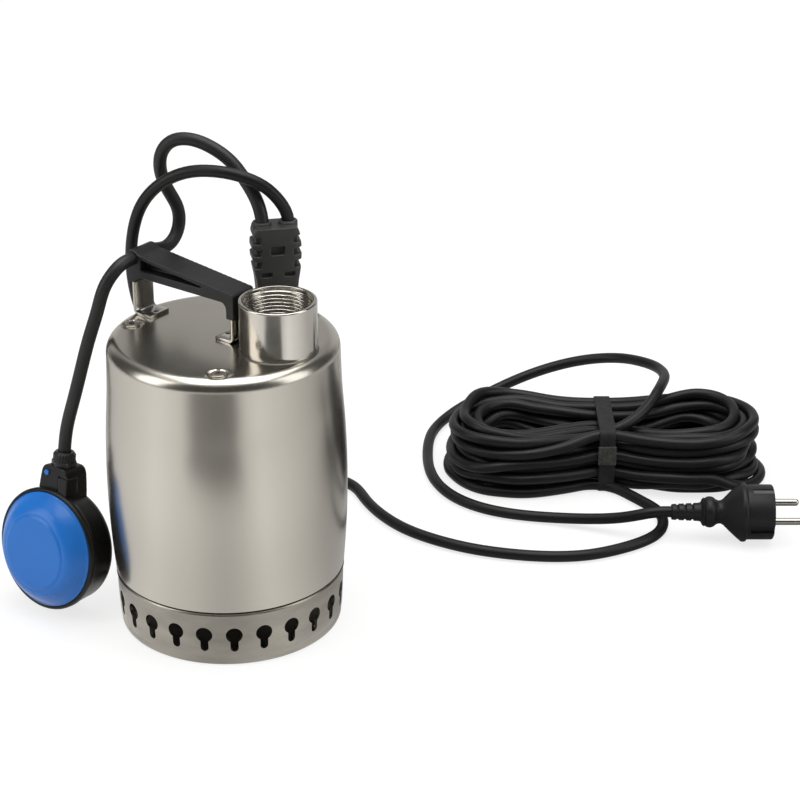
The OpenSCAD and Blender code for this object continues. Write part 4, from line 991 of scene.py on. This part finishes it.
def tie_band(name, x0, x1, lift, thick, rib, span=None):
    """A woven band round the hank's middle, pulled tight over the cables it holds. span takes
    only its front between two heights."""
    near = hank[(np.abs(hank[:, :2]) < TIE_REACH[:2]).all(1) & (hank[:, 2] < TIE_REACH[2])]
    reach = MAINS_D / 2 + lift
    rim = [(y + reach * math.cos(a), max(thick + rib * 2 + 0.1, z + reach * math.sin(a)))
           for y, z in near[:, 1:] for a in np.linspace(0, 2 * math.pi, 24, endpoint=False)]
    line = np.array([(0, y, z) for y, z in hull(rim)])
    line = even(np.vstack([line, line[:1]]), 0.55)[:-1]
    for _ in range(6):
        line = (np.roll(line, 1, 0) + 2 * line + np.roll(line, -1, 0)) / 4
    if span:
        keep = (line[:, 1] < 0) & (line[:, 2] > span[0]) & (line[:, 2] < span[1])
        first = int(np.nonzero(keep & ~np.roll(keep, 1))[0][0])
        line = np.roll(line, -first, 0)[:int(keep.sum())]
    heading = np.roll(line, -1, 0) - np.roll(line, 1, 0)
    if span:
        heading[0], heading[-1] = line[1] - line[0], line[-1] - line[-2]
    heading /= np.linalg.norm(heading, axis=1)[:, None]
    normal = np.stack([0 * heading[:, 0], heading[:, 2], -heading[:, 1]], -1)
    across = np.linspace(x0, x1, THREADS)
    section = [(x, thick + rib * (-1) ** k) for k, x in enumerate(across)]
    section += [(x1, 0), (x0, 0)]
    points, faces = [], []
    n, m = len(line), len(section)
    for i in range(n):
        for k, (x, h) in enumerate(section):
            woven = 0 < k < THREADS - 1
            p = line[i] + normal[i] * (h + rib * 0.8 * (-1) ** (i + k) if woven else h * 0.85)
            points.append((x, p[1], p[2]))
    for i in range(n if not span else n - 1):
        j = (i + 1) % n
        faces += [(i * m + k, i * m + (k + 1) % m, j * m + (k + 1) % m, j * m + k)
                  for k in range(m)]
    if span:
        faces += [tuple(range(m)), tuple(range((n - 1) * m, n * m))]
    return mesh_piece(name, placed(HANK_AT, points), faces)


tie = tie_band("tie_band", -5.5, 5.5, 0.15, 0.9, 0.10)
paint(tie, woven_black, "black_rubber")
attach(tie, "casing")
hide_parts("hank_tie")
tie_patch = tie_band("tie_fastener", -6.2, 6.2, 1.15, 0.9, 0.22, span=(22, 36))
paint(tie_patch, woven_grey, "black_rubber")
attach(tie_patch, "casing")

# ---------- Pieces carried over from the frame ----------

KEPT = {
    "tie_screws": strainer_steel, "plug_pins": strap_steel, "plug_earth": shaded_earth_metal,
    "boot_seal": seal_rubber, "suction_cover": black_plastic, "impeller": black_plastic,
    "impeller_nut": brass, "pump_housing": black_plastic, "housing_seal": seal_rubber,
    "seal_seat": ceramic, "seal_head": iron, "shaft": bright_steel, "oil_chamber": iron,
    "lower_bearing": bright_steel, "upper_bearing": bright_steel, "rotor_core": iron,
    "motor_can": casing_steel, "stator_core": iron, "stator_windings": copper,
    "motor_cover": iron, "cover_seal": seal_rubber, "capacitor": white_plastic,
    "cable_duct": seal_rubber, "float_pin": blue_plastic, "float_switch": white_plastic,
    "float_ball": bright_steel}
for node_name, mat in KEPT.items():
    paint(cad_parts[node_name], mat)

# ---------- Floor, light and what the steel mirrors ----------


def plain(name, build):
    """A material whose surface is what build makes in its tree."""
    mat = bpy.data.materials.new(name)
    mat.use_nodes = True
    tree = mat.node_tree
    tree.nodes.clear()
    out = tree.nodes.new("ShaderNodeOutputMaterial")
    tree.links.new(build(tree), out.inputs["Surface"])
    return mat


def seen(tree):
    """1 for camera, glossy and transmission rays."""
    path = tree.nodes.new("ShaderNodeLightPath")
    total = path.outputs["Is Camera Ray"]
    for name in ("Is Glossy Ray", "Is Transmission Ray"):
        add = tree.nodes.new("ShaderNodeMath")
        add.operation = "MAXIMUM"
        tree.links.new(total, add.inputs[0])
        tree.links.new(path.outputs[name], add.inputs[1])
        total = add.outputs[0]
    return total


FLOOR_BOUNCE, FLOOR_DIFFUSE = (0.72, 0.72, 0.715), (0.30, 0.298, 0.295)
FLOOR_GLOW, FAR_GLOW = 0.755, 0.90
GLOW_NEAR, GLOW_FAR = 0.6, 3.0  # metres from the origin
FLOOR_HALF = 9000


def floor_shader(tree):
    """Pale floor that takes the shadow, lifted towards white where it is looked at."""
    node, link = tree.nodes.new, tree.links.new
    pale, shade = node("ShaderNodeBsdfDiffuse"), node("ShaderNodeBsdfDiffuse")
    glow, place = node("ShaderNodeEmission"), node("ShaderNodeNewGeometry")
    reach, rise = node("ShaderNodeVectorMath"), node("ShaderNodeMapRange")
    both, pick = node("ShaderNodeAddShader"), node("ShaderNodeMixShader")
    pale.inputs["Color"].default_value = (*FLOOR_BOUNCE, 1)
    shade.inputs["Color"].default_value = (*FLOOR_DIFFUSE, 1)
    reach.operation = "LENGTH"
    link(place.outputs["Position"], reach.inputs[0])
    link(reach.outputs["Value"], rise.inputs["Value"])
    dial(rise, {"From Min": GLOW_NEAR, "From Max": GLOW_FAR, "To Min": FLOOR_GLOW,
                "To Max": FAR_GLOW})
    link(rise.outputs["Result"], glow.inputs["Strength"])
    link(shade.outputs[0], both.inputs[0])
    link(glow.outputs[0], both.inputs[1])
    link(seen(tree), pick.inputs["Fac"])
    link(pale.outputs[0], pick.inputs[1])
    link(both.outputs[0], pick.inputs[2])
    return pick.outputs[0]


corners = [(x * FLOOR_HALF, y * FLOOR_HALF, -0.05) for x, y in ((-1, -1), (1, -1), (1, 1), (-1, 1))]
floor = mesh_piece("floor", corners, [(0, 1, 2, 3)], smooth=False)
floor.data.materials.append(plain("floor_white", floor_shader))


VIEW_COS, VIEW_SIN = 0.80386, 0.59482


def along_view(x, y):
    """A place on the floor from its distances right of and behind the pump, as the camera
    sees it."""
    return VIEW_COS * x - VIEW_SIN * y, VIEW_SIN * x + VIEW_COS * y


def softbox(name, size, spot, target, power):
    lamp = bpy.data.lights.new(name, "AREA")
    lamp.shape = "RECTANGLE"
    lamp.size, lamp.size_y = size
    lamp.energy = power
    obj = linked(name, lamp)
    obj.location = (*along_view(spot[0], spot[1]), spot[2])
    aim(obj, (*along_view(target[0], target[1]), target[2]))
    obj.visible_camera = False


def step_up(value, low, high):
    """0 below low, 1 above high, with a soft step between."""
    u = np.clip((value - low) / (high - low), 0, 1)
    return u * u * (3 - 2 * u)


def mirrored(name, x, y, z, level):
    """A sheet that only mirroring surfaces see, glowing at its own level at each point."""
    rows, columns = x.shape
    points = [(*along_view(a, b), c) for a, b, c in zip(x.ravel(), y.ravel(), z.ravel())]
    faces = [(k, k + 1, k + 1 + columns, k + columns)
             for i in range(rows - 1) for k in range(i * columns, (i + 1) * columns - 1)]
    obj = mesh_piece(name, points, faces, smooth=False)
    shade = obj.data.color_attributes.new("level", "FLOAT_COLOR", "POINT")
    shade.data.foreach_set("color", np.repeat(level.ravel(), 4).astype(np.float32))

    def shader(tree):
        read, glow = tree.nodes.new("ShaderNodeAttribute"), tree.nodes.new("ShaderNodeEmission")
        read.attribute_name = "level"
        tree.links.new(read.outputs["Color"], glow.inputs["Color"])
        return glow.outputs[0]
    obj.data.materials.append(plain(name, shader))
    obj.visible_camera = obj.visible_diffuse = False
    obj.visible_shadow = obj.visible_transmission = False


# painted reflection of the table for the steel: pale, darker towards the sides, near the pump and
# far off, with two painted bright streaks and a painted dark patch in front of the pump
side_mm, away_mm = np.meshgrid(np.linspace(-1500, 1500, 121), np.linspace(-1500, 1500, 121))
turn_deg = np.degrees(np.arctan2(side_mm, -away_mm))
reach_mm = np.hypot(side_mm, away_mm)
table = 0.97 - 0.25 * np.exp(-(turn_deg / 20) ** 2)
table -= 0.38 * step_up(turn_deg, 40, 100) + 0.38 * step_up(-turn_deg, 80, 150)
table += 0.15 * np.exp(-((turn_deg + 60) / 15) ** 2) + 0.13 * np.exp(-((turn_deg - 33) / 10) ** 2)
table *= 0.86 + 0.14 * step_up(reach_mm, 150, 300)
painted_dark_patch = (step_up(side_mm, -285, -245) * (1 - step_up(side_mm, 120, 160))
        * step_up(-away_mm, 355, 395) * (1 - step_up(-away_mm, 640, 700)))
table *= 1 - 0.84 * painted_dark_patch
# painted shade: a dark spot on the sheet to the pump's right, where the hank darkens the casing's
# reflection
table *= 1 - 0.85 * np.exp(-((side_mm - 330) / 105) ** 2 - ((away_mm - 115) / 85) ** 2)
table *= 1 - 0.85 * step_up(reach_mm, 950, 1250)
mirrored("table_levels", side_mm, away_mm, 0.4 + 0 * side_mm, table)

# painted reflection of the room's walls: dark on the camera's side, grey behind the pump and darker
# higher up
WALL_R = 2600
around, height_mm = np.meshgrid(np.radians(np.linspace(-180, 180, 73)), np.linspace(0, 3600, 49))
behind = step_up(np.abs(np.degrees(around)), 128, 150)
wall = 0.07 + behind * (0.53 - 0.27 * step_up(height_mm, 1200, 1400))
mirrored("wall_levels", WALL_R * np.sin(around), -WALL_R * np.cos(around), height_mm, wall)

softbox("top_light", (1.8, 1.8), (0.15, 0.1, 1.9), (0.1, 0.1, 0.1), 26)
softbox("left_light", (0.9, 1.6), (-1.5, -0.5, 0.9), (0, 0, 0.12), 11)
softbox("right_light", (0.9, 1.6), (1.6, -0.4, 0.8), (0.1, 0, 0.12), 9)

world = bpy.data.worlds.new("studio")
bpy.context.scene.world = world
world.use_nodes = True
sky = world.node_tree
sky.nodes.clear()
white, soft = sky.nodes.new("ShaderNodeBackground"), sky.nodes.new("ShaderNodeBackground")
path, level = sky.nodes.new("ShaderNodeLightPath"), sky.nodes.new("ShaderNodeMath")
level.operation = "MULTIPLY_ADD"
level.inputs[1].default_value, level.inputs[2].default_value = 0.2, 0.8
white.inputs["Color"].default_value = (1, 1, 1, 1)
sky.links.new(path.outputs["Is Camera Ray"], level.inputs[0])
sky.links.new(level.outputs[0], white.inputs["Strength"])
soft.inputs["Strength"].default_value = 0.42
pick = sky.nodes.new("ShaderNodeMixShader")
sky_out = sky.nodes.new("ShaderNodeOutputWorld")
sky.links.new(seen(sky), pick.inputs["Fac"])
sky.links.new(soft.outputs[0], pick.inputs[1])
sky.links.new(white.outputs[0], pick.inputs[2])
sky.links.new(pick.outputs[0], sky_out.inputs["Surface"])

view = bpy.context.scene.view_settings
view.view_transform = "Standard"
